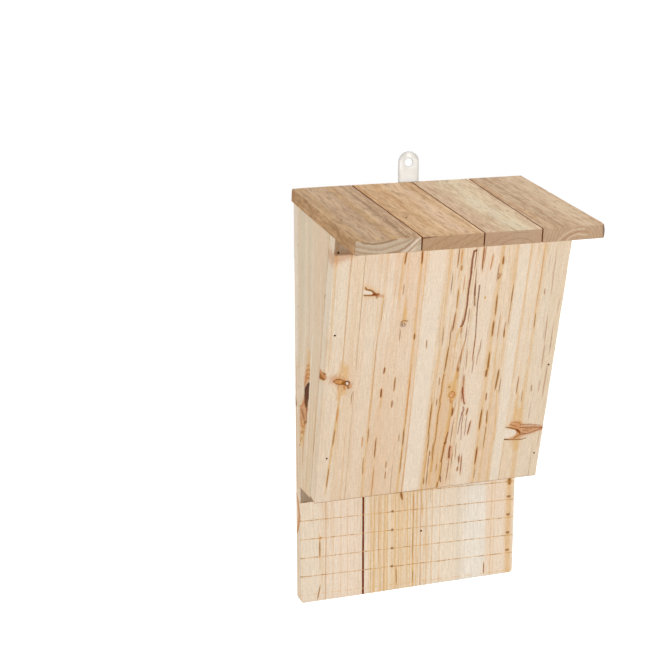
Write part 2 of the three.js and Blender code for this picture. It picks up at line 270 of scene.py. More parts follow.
class Finish:
    """A node tree being built: a material's, a lamp's or the world's."""

    def __init__(self, tree):
        self.tree = tree
        tree.nodes.clear()

    def node(self, kind, settings=None, sockets=(), output=0):
        """Adds a node: its settings first, then the values or links of its sockets."""
        made = self.tree.nodes.new(kind)
        for key, value in (settings or {}).items():
            setattr(made, key, value)
        pairs = sockets.items() if isinstance(sockets, dict) else enumerate(sockets)
        for key, value in pairs:
            if isinstance(value, Wire):
                self.tree.links.new(value.socket, made.inputs[key])
            else:
                made.inputs[key].default_value = value
        return Wire(self, made.outputs[output]) if made.outputs else None

    def mix(self, factor, under, over, blend="MIX"):
        settings = {"data_type": "RGBA", "blend_type": blend}
        return self.node("ShaderNodeMix", settings, {0: factor, 6: under, 7: over}, 2)

    def vector_math(self, operation, terms, output=0):
        return self.node("ShaderNodeVectorMath", {"operation": operation}, terms, output)

    def measure(self, vector, axis):
        return self.vector_math("DOT_PRODUCT", [vector, axis], 1)

    def vector(self, x, y, z):
        return self.node("ShaderNodeCombineXYZ", {}, [x, y, z])

    def stretch(self, vector, sizes, slide):
        """Scales a place so that one unit is a grain of the given sizes, and slides it."""
        scales = [1 / size for size in sizes]
        return self.vector_math("MULTIPLY_ADD", [vector, scales, slide])

    def grain(self, place, detail=2.0, roughness=0.5):
        sockets = {"Vector": place, "Scale": 1.0, "Detail": detail, "Roughness": roughness}
        return self.node("ShaderNodeTexNoise", {}, sockets)

    def direct_rays(self):
        """1 for what the camera sees straight, in a mirror or through glass."""
        seen = self.node("ShaderNodeLightPath", output="Is Camera Ray")
        mirrored = self.node("ShaderNodeLightPath", output="Is Glossy Ray")
        through = self.node("ShaderNodeLightPath", output="Is Transmission Ray")
        return seen.most(mirrored).most(through)

    def surface(self, colour, roughness, height, depth, **fixed):
        """Ends the tree in a Principled surface whose bump is depth metres deep."""
        bump = self.node("ShaderNodeBump", {}, {"Strength": 1.0, "Distance": depth, "Height": height})
        sockets = {"Base Color": colour, "Roughness": roughness, "Normal": bump, **fixed}
        shader = self.node("ShaderNodeBsdfPrincipled", {}, sockets)
        self.node("ShaderNodeOutputMaterial", {"target": "ALL"}, {"Surface": shader})


def new_finish(name, kind=Finish, *details):
    """A new material and the finish that builds it."""
    material = bpy.data.materials.new(name)
    material.use_nodes = True
    return material, kind(material.node_tree, *details)


class Grain(NamedTuple):
    """Where a board's grain lies: a corner of its face and three directions."""

    corner: Vector
    across: Vector
    along: Vector
    outward: Vector


class Streak(NamedTuple):
    """A stripe or dash along the grain, in millimetres on the face. Lean is in mm per 100 mm."""

    tone: str
    across: float
    low: float
    high: float
    width: float
    strength: float = 1.0
    lean: float = 0.0
    soft: float = 0.4


class Knot(NamedTuple):
    """A knot's middle, its half width and its half height."""

    across: float
    along: float
    half_width: float
    half_height: float


class Stroke(NamedTuple):
    """A soft line through places on the face, in millimetres, with its first and last width."""

    tone: str
    places: tuple
    width: float
    end_width: float
    strength: float = 0.7
    soft: float = 0.5


# Tones that leave an amber stain in the wood around them, how many half widths it reaches, and
# its share of the mark's strength
STAINING = ("orange", "brown", "resin", "red")
STAIN_REACH = 3.2
STAIN_SHARE = 0.6

# How uneven the rims of streaks and of strokes are
STREAK_RAG = 2.4
STROKE_FRAY = 2.2

# A streak between these heights runs the whole length of its board
BELOW, ABOVE = -250.0, 500.0

# How far the grain of a board waves across it, in mm, and how deep its fibres stand
WAVE = 2.2
FIBRE_DEPTH = 0.05 * MM


class Wood(Finish):
    """A wooden finish, worked out in millimetres across the grain, along it and below the face."""

    def __init__(self, tree, grain, slide, knots=()):
        super().__init__(tree)
        self.tints = bpy.context.scene.bat_box_tints
        place = self.node("ShaderNodeTexCoord", output="Object")
        self.slide = Vector(slide)
        self.face_across = self.reach(place, grain.corner, grain.across)
        self.along = self.reach(place, grain.corner, grain.along)
        self.deep = self.reach(place, grain.corner, -grain.outward)
        across = self.face_across
        for knot in knots:
            across = self.parted(across, knot)
        slow = self.grain(self.stretch(self.vector(across, self.along, self.deep),
                                       (26, 90, 40), self.slide), 1.0)
        self.across = across + (slow - 0.5) * WAVE
        self.place = self.vector(self.across, self.along, self.deep)
        # What makes the rims of marks uneven: streaky, and round
        self.rag = self.noise((1.1, 7, 1.1), detail=3.0)
        self.fray = self.noise((1.3, 1.6, 1.3), detail=3.0, shift=9.0)

    def reach(self, place, corner, axis):
        """How far a place lies from a corner along an axis, in millimetres."""
        per_mm = axis / MM
        return self.measure(place, per_mm) - corner.dot(per_mm)

    def noise(self, sizes, detail=2.0, roughness=0.6, shift=0.0):
        """Noise with grains of the given sizes; another shift gives another noise."""
        slide = self.slide + Vector((shift, shift, shift))
        return self.grain(self.stretch(self.place, sizes, slide), detail, roughness)

    def parted(self, across, knot):
        """Makes the grain part around a knot."""
        half_widths, half_heights = 2.2, 3.0
        off = across - knot.across
        side = off / (half_widths * knot.half_width)
        rise = (self.along - knot.along) / (half_heights * knot.half_height)
        near = (side * side + rise * rise).fade(1.6, 0.0, 0.55)
        return across - off * near

    def tone(self, name):
        """A named colour of the wood, or one written as rrggbb."""
        return getattr(self.tints, name) if hasattr(self.tints, name) else tint(name)

    def paint(self, mask, name):
        """Lays a tone where the mask is 1."""
        self.colour = self.mix(mask, self.colour, self.tone(name))

    def ground(self, light, dark, lines, line_share):
        """Lays broad bands, growth lines and fine fibres."""
        bands = self.noise((9, 300, 16), detail=1.0, roughness=0.5)
        pins = self.noise((0.95, 42, 1.1), shift=5.0)
        self.lines = self.noise((1.9, 170, 2.4), shift=3.0)
        self.fibres = self.noise((0.6, 11, 0.6), roughness=0.55, shift=7.0)
        self.colour = self.mix(bands.fade(0.36, 0.64), self.tone(light), self.tone(dark))
        self.paint(self.lines.fade(0.54, 0.68, line_share), lines)
        self.paint(pins.fade(0.53, 0.66, line_share), lines)
        self.paint(self.lines.fade(0.47, 0.34, 0.5), "pale")
        self.paint(pins.fade(0.47, 0.34, 0.75), "pale")

    def streak(self, mark):
        """Lays one stripe or dash along the grain, with tapered, ragged ends."""
        middle = (mark.low + mark.high) / 2
        half = (mark.high - mark.low) / 2
        from_middle = self.along - middle
        off = self.across - mark.across
        if mark.lean:
            off = off - from_middle * (mark.lean / 100)
        shape = abs(off) / (mark.width / 2) + (self.rag - 0.5) * STREAK_RAG * mark.soft
        if mark.low > BELOW or mark.high < ABOVE:
            shape = shape + abs(from_middle / half) ** 4.0
        strength = mark.strength
        if mark.tone in STAINING:
            self.paint(shape.fade(STAIN_REACH, 1.0, STAIN_SHARE * strength), "amber")
            strength = strength ** 0.5
        self.paint(shape.fade(1 + mark.soft, 1 - mark.soft, strength), mark.tone)

    def dashes(self, name, low, high, pitch, length, amount, strength, shift=0.0):
        """Scatters short streaks between two places across the board."""
        endless = 1000.0
        slide = self.slide + Vector((shift, shift, 0))
        cells = self.stretch(self.place, (pitch, length, endless), slide)
        sockets = {"Vector": cells, "Scale": 1.0}
        settings = {"voronoi_dimensions": "3D"}
        distance = self.node("ShaderNodeTexVoronoi", settings, sockets, "Distance")
        colour = self.node("ShaderNodeTexVoronoi", settings, sockets, "Color")
        picked = self.measure(colour, RIGHT).fade(1 - amount, 1 - amount + 0.02)
        middle = (low + high) / 2
        half = (high - low) / 2
        zone = abs(self.across - middle).fade(half, half - 1.5)
        spot = (distance + (self.rag - 0.5) * 0.2).fade(0.34, 0.16, strength)
        self.paint(spot * picked * zone, name)

    def ellipse(self, knot, growth=1.0, rise=1.0):
        """Distance from a knot's middle, 1 on its rim, on the face's own places."""
        x = (self.face_across - knot.across) * (1 / (knot.half_width * growth))
        y = (self.along - knot.along) * (1 / (knot.half_height * rise))
        return (x * x + y * y) ** 0.5

    def knot(self, knot, heart, rim, stain, stain_rise):
        """Draws a knot: a stain along the grain, a dark rim and a ringed heart."""
        edge = (self.rag - 0.5) * 0.7
        stained = self.ellipse(knot, 1.5, stain_rise) + edge
        self.paint(stained.fade(1.1, 0.1, 0.75), stain)
        ring = self.ellipse(knot) + edge * 0.5
        self.paint(ring.fade(1.15, 0.8), rim)
        self.paint(ring.fade(0.75, 0.45), heart)
        rings = abs((ring * 3.0).fraction() - 0.5).fade(0.2, 0.45, 0.6)
        self.paint(rings * ring.fade(1.1, 0.8), rim)

    def stroke(self, mark, spot=None, where=None):
        """Lays a soft line through places on the face, or on an edge when given its spot."""
        spot = spot or self.vector(self.face_across, self.along, 0.0)
        places = [Vector((*place, 0)) for place in mark.places]
        shapes = []
        for i, (start, end) in enumerate(zip(places, places[1:])):
            run = end - start
            from_start = self.vector_math("SUBTRACT", [spot, start])
            share = self.measure(from_start, run / run.length_squared).most(0.0).least(1.0)
            passed = self.vector_math("SCALE", {0: run, "Scale": share})
            distance = self.vector_math("DISTANCE", [from_start, passed], 1)
            growth = (mark.end_width - mark.width) / (len(places) - 1)
            width = share * growth + (mark.width + growth * i)
            shapes.append(distance * 2.0 / width)
        shape = shapes[0]
        for other in shapes[1:]:
            shape = shape.least(other)
        shape = shape + (self.fray - 0.5) * STROKE_FRAY * mark.soft
        # Strength is as it looks on screen, and colours mix in linear light
        mask = shape.fade(1 + mark.soft, 1 - mark.soft, mark.strength ** 0.6)
        self.paint(mask * where if where else mask, mark.tone)

    def shade(self, level):
        """Multiplies the colour by a level."""
        self.colour = self.mix(1.0, self.colour, level, "MULTIPLY")

    def facing(self, way):
        """How far the face turns to a direction: 1 towards it, -1 away from it."""
        normal = self.node("ShaderNodeNewGeometry", output="True Normal")
        return self.measure(normal, way)

    def end_grain(self, grain):
        """Darkens the sawn ends, where the fibres are cut across."""
        ends = abs(self.facing(grain.along)).fade(0.5, 0.85)
        self.paint(ends * 0.22, "brown")

    def done(self):
        """Adds the fibres' shading and ends the tree."""
        self.shade(self.fibres.fade(0.25, 0.75, 0.16) + 0.9)
        speck = self.noise((0.9, 2.4, 0.9), shift=11.0)
        self.shade(speck.fade(0.3, 0.7, 0.1) + 0.94)
        roughness = self.fibres * 0.18 + 0.6
        height = self.fibres + self.lines * 0.6
        self.surface(self.colour, roughness, height, FIBRE_DEPTH, **{"Specular IOR Level": 0.08})


# The figure of each stave of the front panel, read off its face from the lower left corner
FRONT_FIGURE = {
    "front_stave_1": [
        Streak("e8e0cc", 14.0, 140, ABOVE, 26.0, 0.55, soft=0.9),
        Streak("amber", 2.6, 118, ABOVE, 2.2, 0.45),
        Streak("pale", 10.0, BELOW, ABOVE, 5.5, 0.45, soft=0.8),
        Streak("orange", 14.8, 60, ABOVE, 0.8, 0.3, 0.6),
        Streak("pink", 20.0, BELOW, ABOVE, 8.0, 0.4, soft=0.9),
        Streak("pale", 3.0, BELOW, 70, 4.0, 0.5, soft=0.8),
        Streak("amber", 10.9, 8, 104, 2.0, 0.75, 6.0),
        Streak("orange", 12.9, 78, 92, 1.2, 0.5, 5.0),
        Streak("brown", 11.5, 56, 72, 1.2, 0.4, 5.0),
        Streak("brown", 9.2, 16, 36, 1.1, 0.4, 5.0),
        Streak("amber", 21.5, BELOW, 96, 1.0, 0.5),
        Streak("brown", 24.2, 92, 118, 0.8, 0.4),
        Streak("amber", 14.5, 116, 134, 6.0, 0.45, soft=0.9),
        Streak("brown", 25.8, BELOW, ABOVE, 0.5, 0.2),
    ],
    "front_stave_2": [
        Streak("dbb993", 50.0, BELOW, 105, 44.0, 0.4, soft=0.9),
        Streak("cream", 33.0, BELOW, ABOVE, 9.0, 0.6, soft=0.9),
        Streak("pink", 55.0, BELOW, 150, 12.0, 0.4, soft=0.9),
        Streak("pink", 64.0, BELOW, ABOVE, 9.0, 0.45, soft=0.9),
        Streak("pale", 48.5, 130, ABOVE, 5.0, 0.5, soft=0.8),
        Streak("amber", 57.2, 178, 240, 2.6, 0.5, 3.0),
        Streak("brown", 58.6, 212, 224, 1.2, 0.8, 8.0),
        Streak("brown", 59.4, 186, 196, 0.8, 0.3),
        Streak("amber", 44.2, 186, ABOVE, 1.8, 0.5),
        Streak("amber", 42.8, 150, 190, 1.5, 0.5, 3.6),
        Streak("brown", 43.6, 162, 184, 0.6, 0.2, 2.0),
        Streak("orange", 41.0, 64, 160, 0.9, 0.35, 1.0),
        Streak("amber", 40.6, BELOW, 120, 1.8, 0.6, soft=0.8),
        Streak("brown", 41.4, 55, 70, 0.9, 0.5, -3.0),
        Streak("brown", 39.4, 24, 42, 0.9, 0.4, -3.0),
        Streak("amber", 62.4, 163, 184, 2.6, 0.6, -1.0, soft=0.8),
        Streak("brown", 60.0, 146, 158, 0.9, 0.35),
        Streak("resin", 49.0, 96, 105, 1.5, 0.9, -3.0),
        Streak("amber", 49.4, 86, 97, 1.4, 0.6),
        Streak("resin", 49.8, 118, 124, 1.4, 0.7, 5.0),
        Streak("resin", 48.9, 40, 60, 1.0, 0.7),
        Streak("orange", 49.2, 2, 32, 1.1, 0.5),
        Streak("brown", 59.8, 101, 114, 1.2, 0.6),
        Streak("brown", 59.4, 86, 93, 1.3, 0.5),
        Streak("brown", 59.8, 29, 36, 1.0, 0.45, -4.0),
        Streak("brown", 60.0, 18, 26, 1.0, 0.4),
        Streak("orange", 36.8, 52, 62, 1.0, 0.5),
        Streak("brown", 68.4, 53, 60, 0.8, 0.35),
        Streak("brown", 65.8, BELOW, 45, 0.7, 0.3),
        Streak("amber", 72.2, BELOW, ABOVE, 2.0, 0.7),
        Streak("resin", 72.4, 211, 223, 1.3, 0.8, -3.0),
        Streak("orange", 72.6, 66, 122, 1.1, 0.45),
        Streak("brown", 72.4, 146, 152, 1.5, 0.7),
        Streak("resin", 72.3, 48, 66, 1.1, 0.6, -2.0),
        Streak("brown", 72.6, 22, 46, 0.9, 0.5, -2.0),
        Streak("orange", 76.3, BELOW, 92, 0.8, 0.4),
        Streak("amber", 76.2, 90, ABOVE, 1.0, 0.4),
    ],
    "front_stave_3": [
        Streak("d9b184", 106.0, BELOW, 150, 24.0, 0.45, soft=0.9),
        Streak("e8ddcc", 84.2, BELOW, ABOVE, 14.5, 1.0, 1.1, soft=0.22),
        Streak("brown", 83.4, 137, 145, 0.9, 0.5, -3.0),
        Streak("amber", 93.6, BELOW, 130, 1.6, 0.7),
        Streak("amber", 95.8, BELOW, ABOVE, 1.4, 0.45, 0.8),
        Streak("amber", 97.0, 120, ABOVE, 5.0, 0.25, soft=0.8),
        Streak("brown", 94.4, 55, 88, 1.1, 0.65),
        Streak("brown", 95.2, 8, 16, 1.2, 0.5, -4.0),
        Streak("orange", 95.0, 16, 50, 0.8, 0.4),
        Streak("brown", 98.5, 83, 90, 1.0, 0.5),
        Streak("brown", 97.7, 35.5, 41, 0.9, 0.8, -4.0),
        Streak("brown", 98.8, 102, 110, 1.2, 0.35),
        Streak("brown", 103.3, 113, 139, 1.3, 0.65, 6.0),
        Streak("brown", 103.1, 206, 224, 1.1, 0.6),
        Streak("orange", 105.8, 208, 222, 1.2, 0.4),
        Streak("brown", 106.6, 203, 208, 1.6, 0.6),
        Streak("brown", 106.5, 170, 188, 1.3, 0.6, -2.0),
        Streak("resin", 106.0, 150, 168, 1.3, 0.65, 5.0),
        Streak("amber", 106.6, 140, ABOVE, 2.4, 0.35),
        Streak("orange", 110.2, 184, 200, 0.8, 0.35),
        Streak("brown", 114.0, 106, 118, 1.6, 0.75),
        Streak("amber", 105.3, 14, 40, 1.2, 0.6, soft=0.6),
        Streak("brown", 105.3, 20, 27, 0.9, 0.35),
        Streak("resin", 113.7, 71.5, 80.5, 1.5, 0.85),
        Streak("red", 115.2, 8, 30, 0.9, 0.45, 2.0),
        Streak("red", 115.4, 44, 70, 0.8, 0.4, 4.0),
        Streak("brown", 117.6, 156, 170, 0.9, 0.3),
        Streak("brown", 119.3, BELOW, ABOVE, 0.4, 0.2),
    ],
    "front_stave_4": [
        Streak("dbb993", 148.0, BELOW, 105, 18.0, 0.4, soft=0.9),
        Streak("e8dccb", 129.5, BELOW, ABOVE, 13.0, 0.7, soft=0.8),
        Streak("amber", 140.2, BELOW, ABOVE, 3.2, 0.5, soft=0.6),
        Streak("amber", 146.0, BELOW, 150, 1.6, 0.5, soft=0.8),
        Streak("amber", 152.6, 95, ABOVE, 3.0, 0.3, soft=0.8),
        Streak("amber", 153.6, BELOW, 60, 3.4, 0.5, soft=0.7),
        Streak("e6dccb", 160.0, BELOW, ABOVE, 8.4, 1.0, -0.4, soft=0.2),
        Streak("red", 124.2, 201, 224, 1.2, 0.75, -4.0),
        Streak("red", 125.4, 208, 224, 0.8, 0.4),
        Streak("red", 125.9, 121, 146, 1.0, 0.65),
        Streak("orange", 132.0, 202, 216, 1.3, 0.5, 8.0),
        Streak("red", 120.4, 114, 134, 0.8, 0.4, -3.0),
        Streak("red", 130.2, 117, 132, 0.8, 0.3, 6.0),
        Streak("red", 120.0, 98, 110, 1.4, 0.5, -4.0),
        Streak("red", 119.9, 84, 97, 0.8, 0.4),
        Streak("red", 126.5, 71, 78.5, 1.4, 0.6, 10.0),
        Streak("red", 130.4, 52, 66, 1.4, 0.65, 8.0),
        Streak("red", 121.0, 30, 46, 0.8, 0.35, -5.0),
        Streak("red", 125.0, 25.5, 32, 1.3, 0.6, -14.0),
        Streak("red", 124.8, 17, 22, 1.3, 0.6),
        Streak("red", 127.6, 13, 33, 1.1, 0.6, -5.0),
        Streak("brown", 141.6, 205.5, 213, 1.5, 0.7, -4.0),
        Streak("brown", 140.8, 160, 181, 1.2, 0.6, -2.0),
        Streak("brown", 140.6, 142, 157, 1.5, 0.7),
        Streak("brown", 140.4, 110, 129, 1.5, 0.75),
        Streak("resin", 139.5, 105.5, 113, 1.5, 0.7),
        Streak("red", 142.0, 83, 91, 1.3, 0.5, -6.0),
        Streak("brown", 139.8, 55, 76, 1.4, 0.75),
        Streak("resin", 140.2, 21, 40, 1.4, 0.75),
        Streak("resin", 139.8, -4, 4, 1.8, 0.6),
        Streak("brown", 145.4, 60, 74, 1.2, 0.65, -8.0),
        Streak("brown", 145.9, 36, 60, 0.9, 0.45),
        Streak("brown", 145.4, 138, 163, 0.8, 0.35),
        Streak("brown", 151.2, 140, 148, 1.2, 0.55, -6.0),
        Streak("brown", 150.0, 92, 112, 1.7, 0.65, 6.0),
        Streak("brown", 153.4, 150, 186, 0.8, 0.3),
    ],
    "front_stave_5": [
        Streak("ddd2bd", 189.0, BELOW, ABOVE, 24.0, 0.6, soft=0.9),
        Streak("pale", 168.0, 60, ABOVE, 5.0, 0.5, soft=0.8),
        Streak("amber", 164.8, 90, ABOVE, 2.0, 0.5, soft=0.8),
        Streak("amber", 177.2, BELOW, 150, 4.4, 0.5, soft=0.8),
        Streak("amber", 177.0, 130, ABOVE, 4.4, 0.4, soft=0.8),
        Streak("brown", 177.2, 146, 161, 0.9, 0.45, -4.0),
        Streak("orange", 176.6, 160, 220, 0.8, 0.3),
        Streak("brown", 175.6, 78, 90, 0.9, 0.35),
        Streak("amber", 171.5, 56, 90, 3.0, 0.6, soft=0.8),
        Streak("brown", 169.8, 86, 104, 1.1, 0.45),
        Streak("red", 182.2, 176, 182, 1.0, 0.35, -6.0),
        Streak("red", 187.8, 174, 216, 0.9, 0.15, -2.0),
        Streak("red", 188.6, 132, 158, 0.9, 0.25, -3.0),
        Streak("red", 189.4, 108, 132, 1.0, 0.2),
        Streak("red", 194.6, 118, 152, 0.7, 0.15),
        Streak("red", 194.4, 80, 112, 1.3, 0.2),
        Streak("red", 183.4, 87, 94, 1.1, 0.3, -6.0),
        Streak("red", 189.8, 86, 98, 0.9, 0.15),
        Streak("brown", 192.6, BELOW, 38, 0.7, 0.3),
        Streak("brown", 164.4, BELOW, 42, 0.5, 0.3),
    ],
}

# Short streaks scattered over part of a stave: tone, from and to, pitch, length, amount, strength
FRONT_DASHES = {
    "front_stave_3": [("brown", 93, 119.5, 2.2, 34, 0.4, 0.7)],
    "front_stave_4": [("red", 120, 136, 2.2, 26, 0.35, 0.6),
                      ("brown", 136, 155, 2.4, 30, 0.3, 0.6, 5.0)],
    "front_stave_5": [("red", 178, 199, 2.4, 34, 0.25, 0.25)],
}

# Small round knots: the knot, its heart, rim and stain, and how far the stain rises
FRONT_KNOTS = {
    "front_stave_3": [(Knot(108.3, 99.8, 1.0, 1.3), "resin", "brown", "amber", 3.0)],
    "front_stave_4": [(Knot(130.0, 178.0, 0.9, 1.4), "c8a468", "d8bc8c", "warm", 2.0)],
}

# Large knots and branches in the front panel, drawn line by line, and painted shade under the roof's left
# corner
FRONT_STROKES = {
    "front_stave_1": [
        Stroke("amber", ((17, 105), (17.5, 126)), 5.0, 5.0, 0.5, 0.9),
        Stroke("amber", ((13, 100), (15, 111)), 4.0, 5.0, 0.45, 0.9),
        Stroke("tan", ((8, 117.4), (20, 112)), 7.5, 7.0, 0.5, 0.8),
        Stroke("d49a58", ((10.2, 115.3), (15.5, 113.7)), 3.4, 3.0, 0.8),
        Stroke("brown", ((8, 115.7), (10, 117.2), (13, 117), (16, 115.6), (18.4, 114.4)), 1.3, 1.2, 0.65),
        Stroke("brown", ((8, 115.4), (10.5, 113.4), (14, 112.2), (17.5, 111.8)), 1.0, 1.2, 0.5),
        Stroke("brown", ((15.8, 113.5), (18, 113.2)), 2.6, 2.4, 0.9),
        Stroke("umber", ((18, 114.2), (20, 114.6), (21.2, 113.2), (21, 111.5), (18.2, 111.6)), 1.5, 1.6),
        Stroke("brown", ((20.2, 110.8), (20.8, 108.3)), 2.3, 1.6, 0.75),
        Stroke("orange", ((17.3, 110.6), (17.8, 107.6)), 1.8, 1.6, 0.6),
        Stroke("tan", ((22, 111), (22.8, 108.8)), 2.0, 1.6, 0.6),
        Stroke("pale", ((19.2, 113), (19.6, 112.3)), 1.8, 1.8, 1.0, 0.3),
        Stroke("tan", ((0, 120.5), (0.8, 119.8)), 3.4, 2.8, 0.9),
        # Painted shade: a warm, darker patch where the roof's shadow falls on the panel's top left corner
        Stroke("orange", ((-3, 220), (13, 224)), 11.0, 7.0, 0.3, 0.8),
    ],
    "front_stave_2": [
        Stroke("amber", ((28, 192), (36, 189)), 9.0, 6.0, 0.55, 0.9),
        Stroke("pale", ((27, 191.1), (34, 190.2)), 4.4, 2.0, 1.0, 0.3),
        Stroke("brown", ((27.8, 195.4), (28.6, 193.4), (31.5, 192.8), (33.8, 191.5),
                         (35.8, 189.4)), 1.2, 1.8, 0.8),
        Stroke("brown", ((27.2, 188.8), (31, 188.2), (35, 188.2)), 1.3, 1.3, 0.75),
        Stroke("burn", ((35, 188.8), (38.6, 188.3)), 2.2, 2.5, 0.85),
        Stroke("brown", ((37.6, 187.2), (38, 185.6)), 1.7, 1.3, 0.5),
        Stroke("tan", ((39.5, 187.5), (43, 186.5)), 2.5, 2.0, 0.5, 0.8),
        Stroke("amber", ((62.5, 163), (63, 174)), 5.0, 2.0, 0.6, 1.0),
        Stroke("brown", ((60.2, 163), (62.5, 164), (65.2, 163.3)), 1.2, 1.2, 0.5),
        Stroke("umber", ((61.2, 160.5), (62.4, 160.2)), 3.6, 3.6, 0.45, 0.6),
        Stroke("grey", ((61.4, 160.5), (62.2, 160.2)), 2.0, 2.0, 0.8),
        Stroke("burn", ((61.2, 160.9), (61.7, 159.9)), 1.1, 1.1, 0.6),
    ],
    "front_stave_3": [
        Stroke("amber", ((113.4, 112), (111.8, 92), (111.4, 70), (110.4, 52), (109, 34), (108.8, 16),
                         (107.6, 0)), 3.4, 2.2, 0.75),
        Stroke("orange", ((113, 88), (112.4, 68), (111.6, 52), (110, 38)), 0.9, 1.6, 0.3),
        Stroke("resin", ((112, 57), (111, 51), (110.6, 46)), 1.0, 1.7, 0.7),
        Stroke("resin", ((110, 47), (109.6, 36), (108.9, 29)), 0.9, 1.5, 0.65),
        Stroke("brown", ((109.6, 28), (109.8, 18), (109, 10)), 1.1, 0.8, 0.5),
        Stroke("resin", ((109.9, 14), (110.6, 8.4)), 1.3, 0.9, 0.75),
        Stroke("brown", ((108, 8), (107.6, 2)), 1.4, 1.2, 0.6),
        Stroke("amber", ((102.2, 112), (101.2, 66), (100.8, 30), (100.6, 20)), 2.6, 2.2, 0.6, 0.8),
        Stroke("9a5c14", ((102.2, 112), (101.4, 104), (101.8, 96), (101.2, 88), (102, 84), (101, 76),
                          (101.2, 66)), 1.1, 1.1, 0.5),
        Stroke("9a5c14", ((101.2, 66), (101.4, 52), (100.4, 44), (100.8, 30), (100.6, 20)),
               0.9, 1.1, 0.5),
        Stroke("amber", ((101, 30), (100, 18), (100.6, 8)), 2.0, 1.6, 0.5),
        Stroke("orange", ((117, 141), (116, 134), (114, 124), (113.2, 116)), 1.0, 1.6, 0.5),
        Stroke("amber", ((112, 153), (110, 147), (108.4, 136)), 1.8, 1.2, 0.7),
        Stroke("amber", ((111, 100), (111.5, 92)), 9.0, 7.0, 0.5, 0.8),
        Stroke("tan", ((115.8, 42), (115.8, 31)), 4.0, 4.0, 0.45, 0.8),
        Stroke("resin", ((115.5, 42.5), (115.1, 38), (115.6, 32)), 1.3, 1.6, 0.85),
        Stroke("resin", ((117.2, 219.6), (115.4, 219), (114.8, 212), (115.1, 198), (114.7, 186),
                         (115, 172), (114.3, 160), (113.4, 155.6), (111.6, 154.2)), 1.9, 1.3, 0.85),
        Stroke("amber", ((111.4, 93), (111.8, 91.5)), 7.4, 7.4, 0.9),
        Stroke("e2bd98", ((111.3, 92.6), (111.8, 91.8)), 2.6, 2.6, 0.8),
        Stroke("b8783c", ((111, 95.5), (113.2, 94.3), (114.2, 92), (113, 89.8), (110.6, 89.2),
                          (108.8, 91), (109.2, 93.8), (111, 95.5)), 1.0, 1.0, 0.75),
        Stroke("tan", ((111.2, 93.2), (112.4, 91.6)), 2.2, 2.2, 0.8),
        Stroke("orange", ((110.6, 87.4), (111.4, 84.6)), 2.4, 2.0, 0.5, 0.8),
    ],
    "front_stave_4": [
        Stroke("tan", ((119.8, 104), (121, 94), (123.4, 83)), 3.2, 2.8, 0.3, 0.8),
        Stroke("8a4820", ((119.8, 98), (120.4, 94), (121.9, 88), (123.6, 82)), 1.9, 1.2, 0.75),
        Stroke("9a5228", ((119.9, 97.5), (120.6, 93)), 2.5, 2.0, 0.45),
        Stroke("9a5228", ((122.8, 79.5), (123.6, 76.5), (122.6, 73)), 1.4, 1.6, 0.6),
        Stroke("red", ((122.5, 74), (121.6, 66), (121, 54)), 1.2, 0.8, 0.5),
        Stroke("red", ((123.7, 72), (123.4, 62), (124.6, 48)), 1.1, 0.7, 0.5),
        Stroke("7a4420", ((123.8, 189), (124, 172), (125, 157), (126, 143)), 1.3, 0.8, 0.7),
        Stroke("brown", ((118.6, 212), (119.6, 196), (120.7, 179), (121.6, 172)), 1.1, 1.5, 0.6),
        Stroke("7a3a14", ((119.9, 190), (120.6, 181)), 1.2, 1.4, 0.6),
        Stroke("brown", ((139.2, 198.5), (139.8, 196), (139.2, 193.6), (140.4, 194.8), (141.2, 198)),
               0.9, 0.9, 0.5),
        Stroke("amber", ((151.6, 92), (153.8, 68), (155.2, 44)), 1.4, 1.4, 0.45),
    ],
    "front_stave_5": [
        Stroke("amber", ((174, 70), (174, 58)), 6.0, 9.0, 0.4, 1.0),
        Stroke("amber", ((175, 43), (176.5, 33)), 9.0, 5.0, 0.45, 1.0),
        Stroke("tan", ((174.5, 50.2), (200, 50.4)), 15.5, 4.0, 0.75, 0.5),
        Stroke("tan", ((169.5, 58.6), (176.5, 57.6)), 3.0, 4.0, 0.5, 0.7),
        Stroke("tan", ((168, 56.6), (176, 54.5)), 1.8, 3.4, 0.6),
        Stroke("pale", ((162, 48.7), (171.5, 48.5)), 10.6, 7.0, 1.0, 0.22),
        Stroke("brown", ((164.8, 54.9), (169.5, 54), (173.5, 52.2), (176.4, 50.6),
                         (178.2, 48.6)), 1.1, 1.9),
        Stroke("resin", ((175.4, 51.2), (177.9, 48.8)), 2.2, 1.8, 0.6),
        Stroke("brown", ((178.2, 48.6), (178.9, 46.4), (176.5, 44.9), (173.5, 43.2)), 1.2, 1.0, 0.65),
        Stroke("brown", ((165.3, 43.2), (168.5, 42.5), (176, 41.7), (181, 41.3), (185, 42.2)), 1.2, 0.9),
        Stroke("umber", ((165.2, 43.2), (168.8, 42.5)), 1.4, 1.0, 0.6),
        Stroke("umber", ((178.2, 56), (186, 55.3), (196.5, 53.4)), 0.8, 0.7, 0.3),
        Stroke("umber", ((178, 53.1), (189, 52.2), (199.5, 50.7)), 0.9, 1.1, 0.4),
        Stroke("umber", ((179.5, 46.2), (186.5, 46.4), (192, 48), (199, 50.2)), 1.0, 0.9, 0.35),
        Stroke("brown", ((181, 50.2), (187, 48.7)), 0.8, 0.7, 0.55),
        Stroke("brown", ((183, 51.3), (190, 50.4)), 0.7, 0.7, 0.5),
        Stroke("resin", ((179, 48), (184, 46.6)), 1.0, 0.7, 0.4),
        Stroke("brown", ((171, 59.4), (177, 57.9), (178.3, 55.6)), 0.7, 0.8, 0.45),
        Stroke("brown", ((169, 57.2), (174, 54.9)), 0.8, 0.8, 0.5),
    ],
}

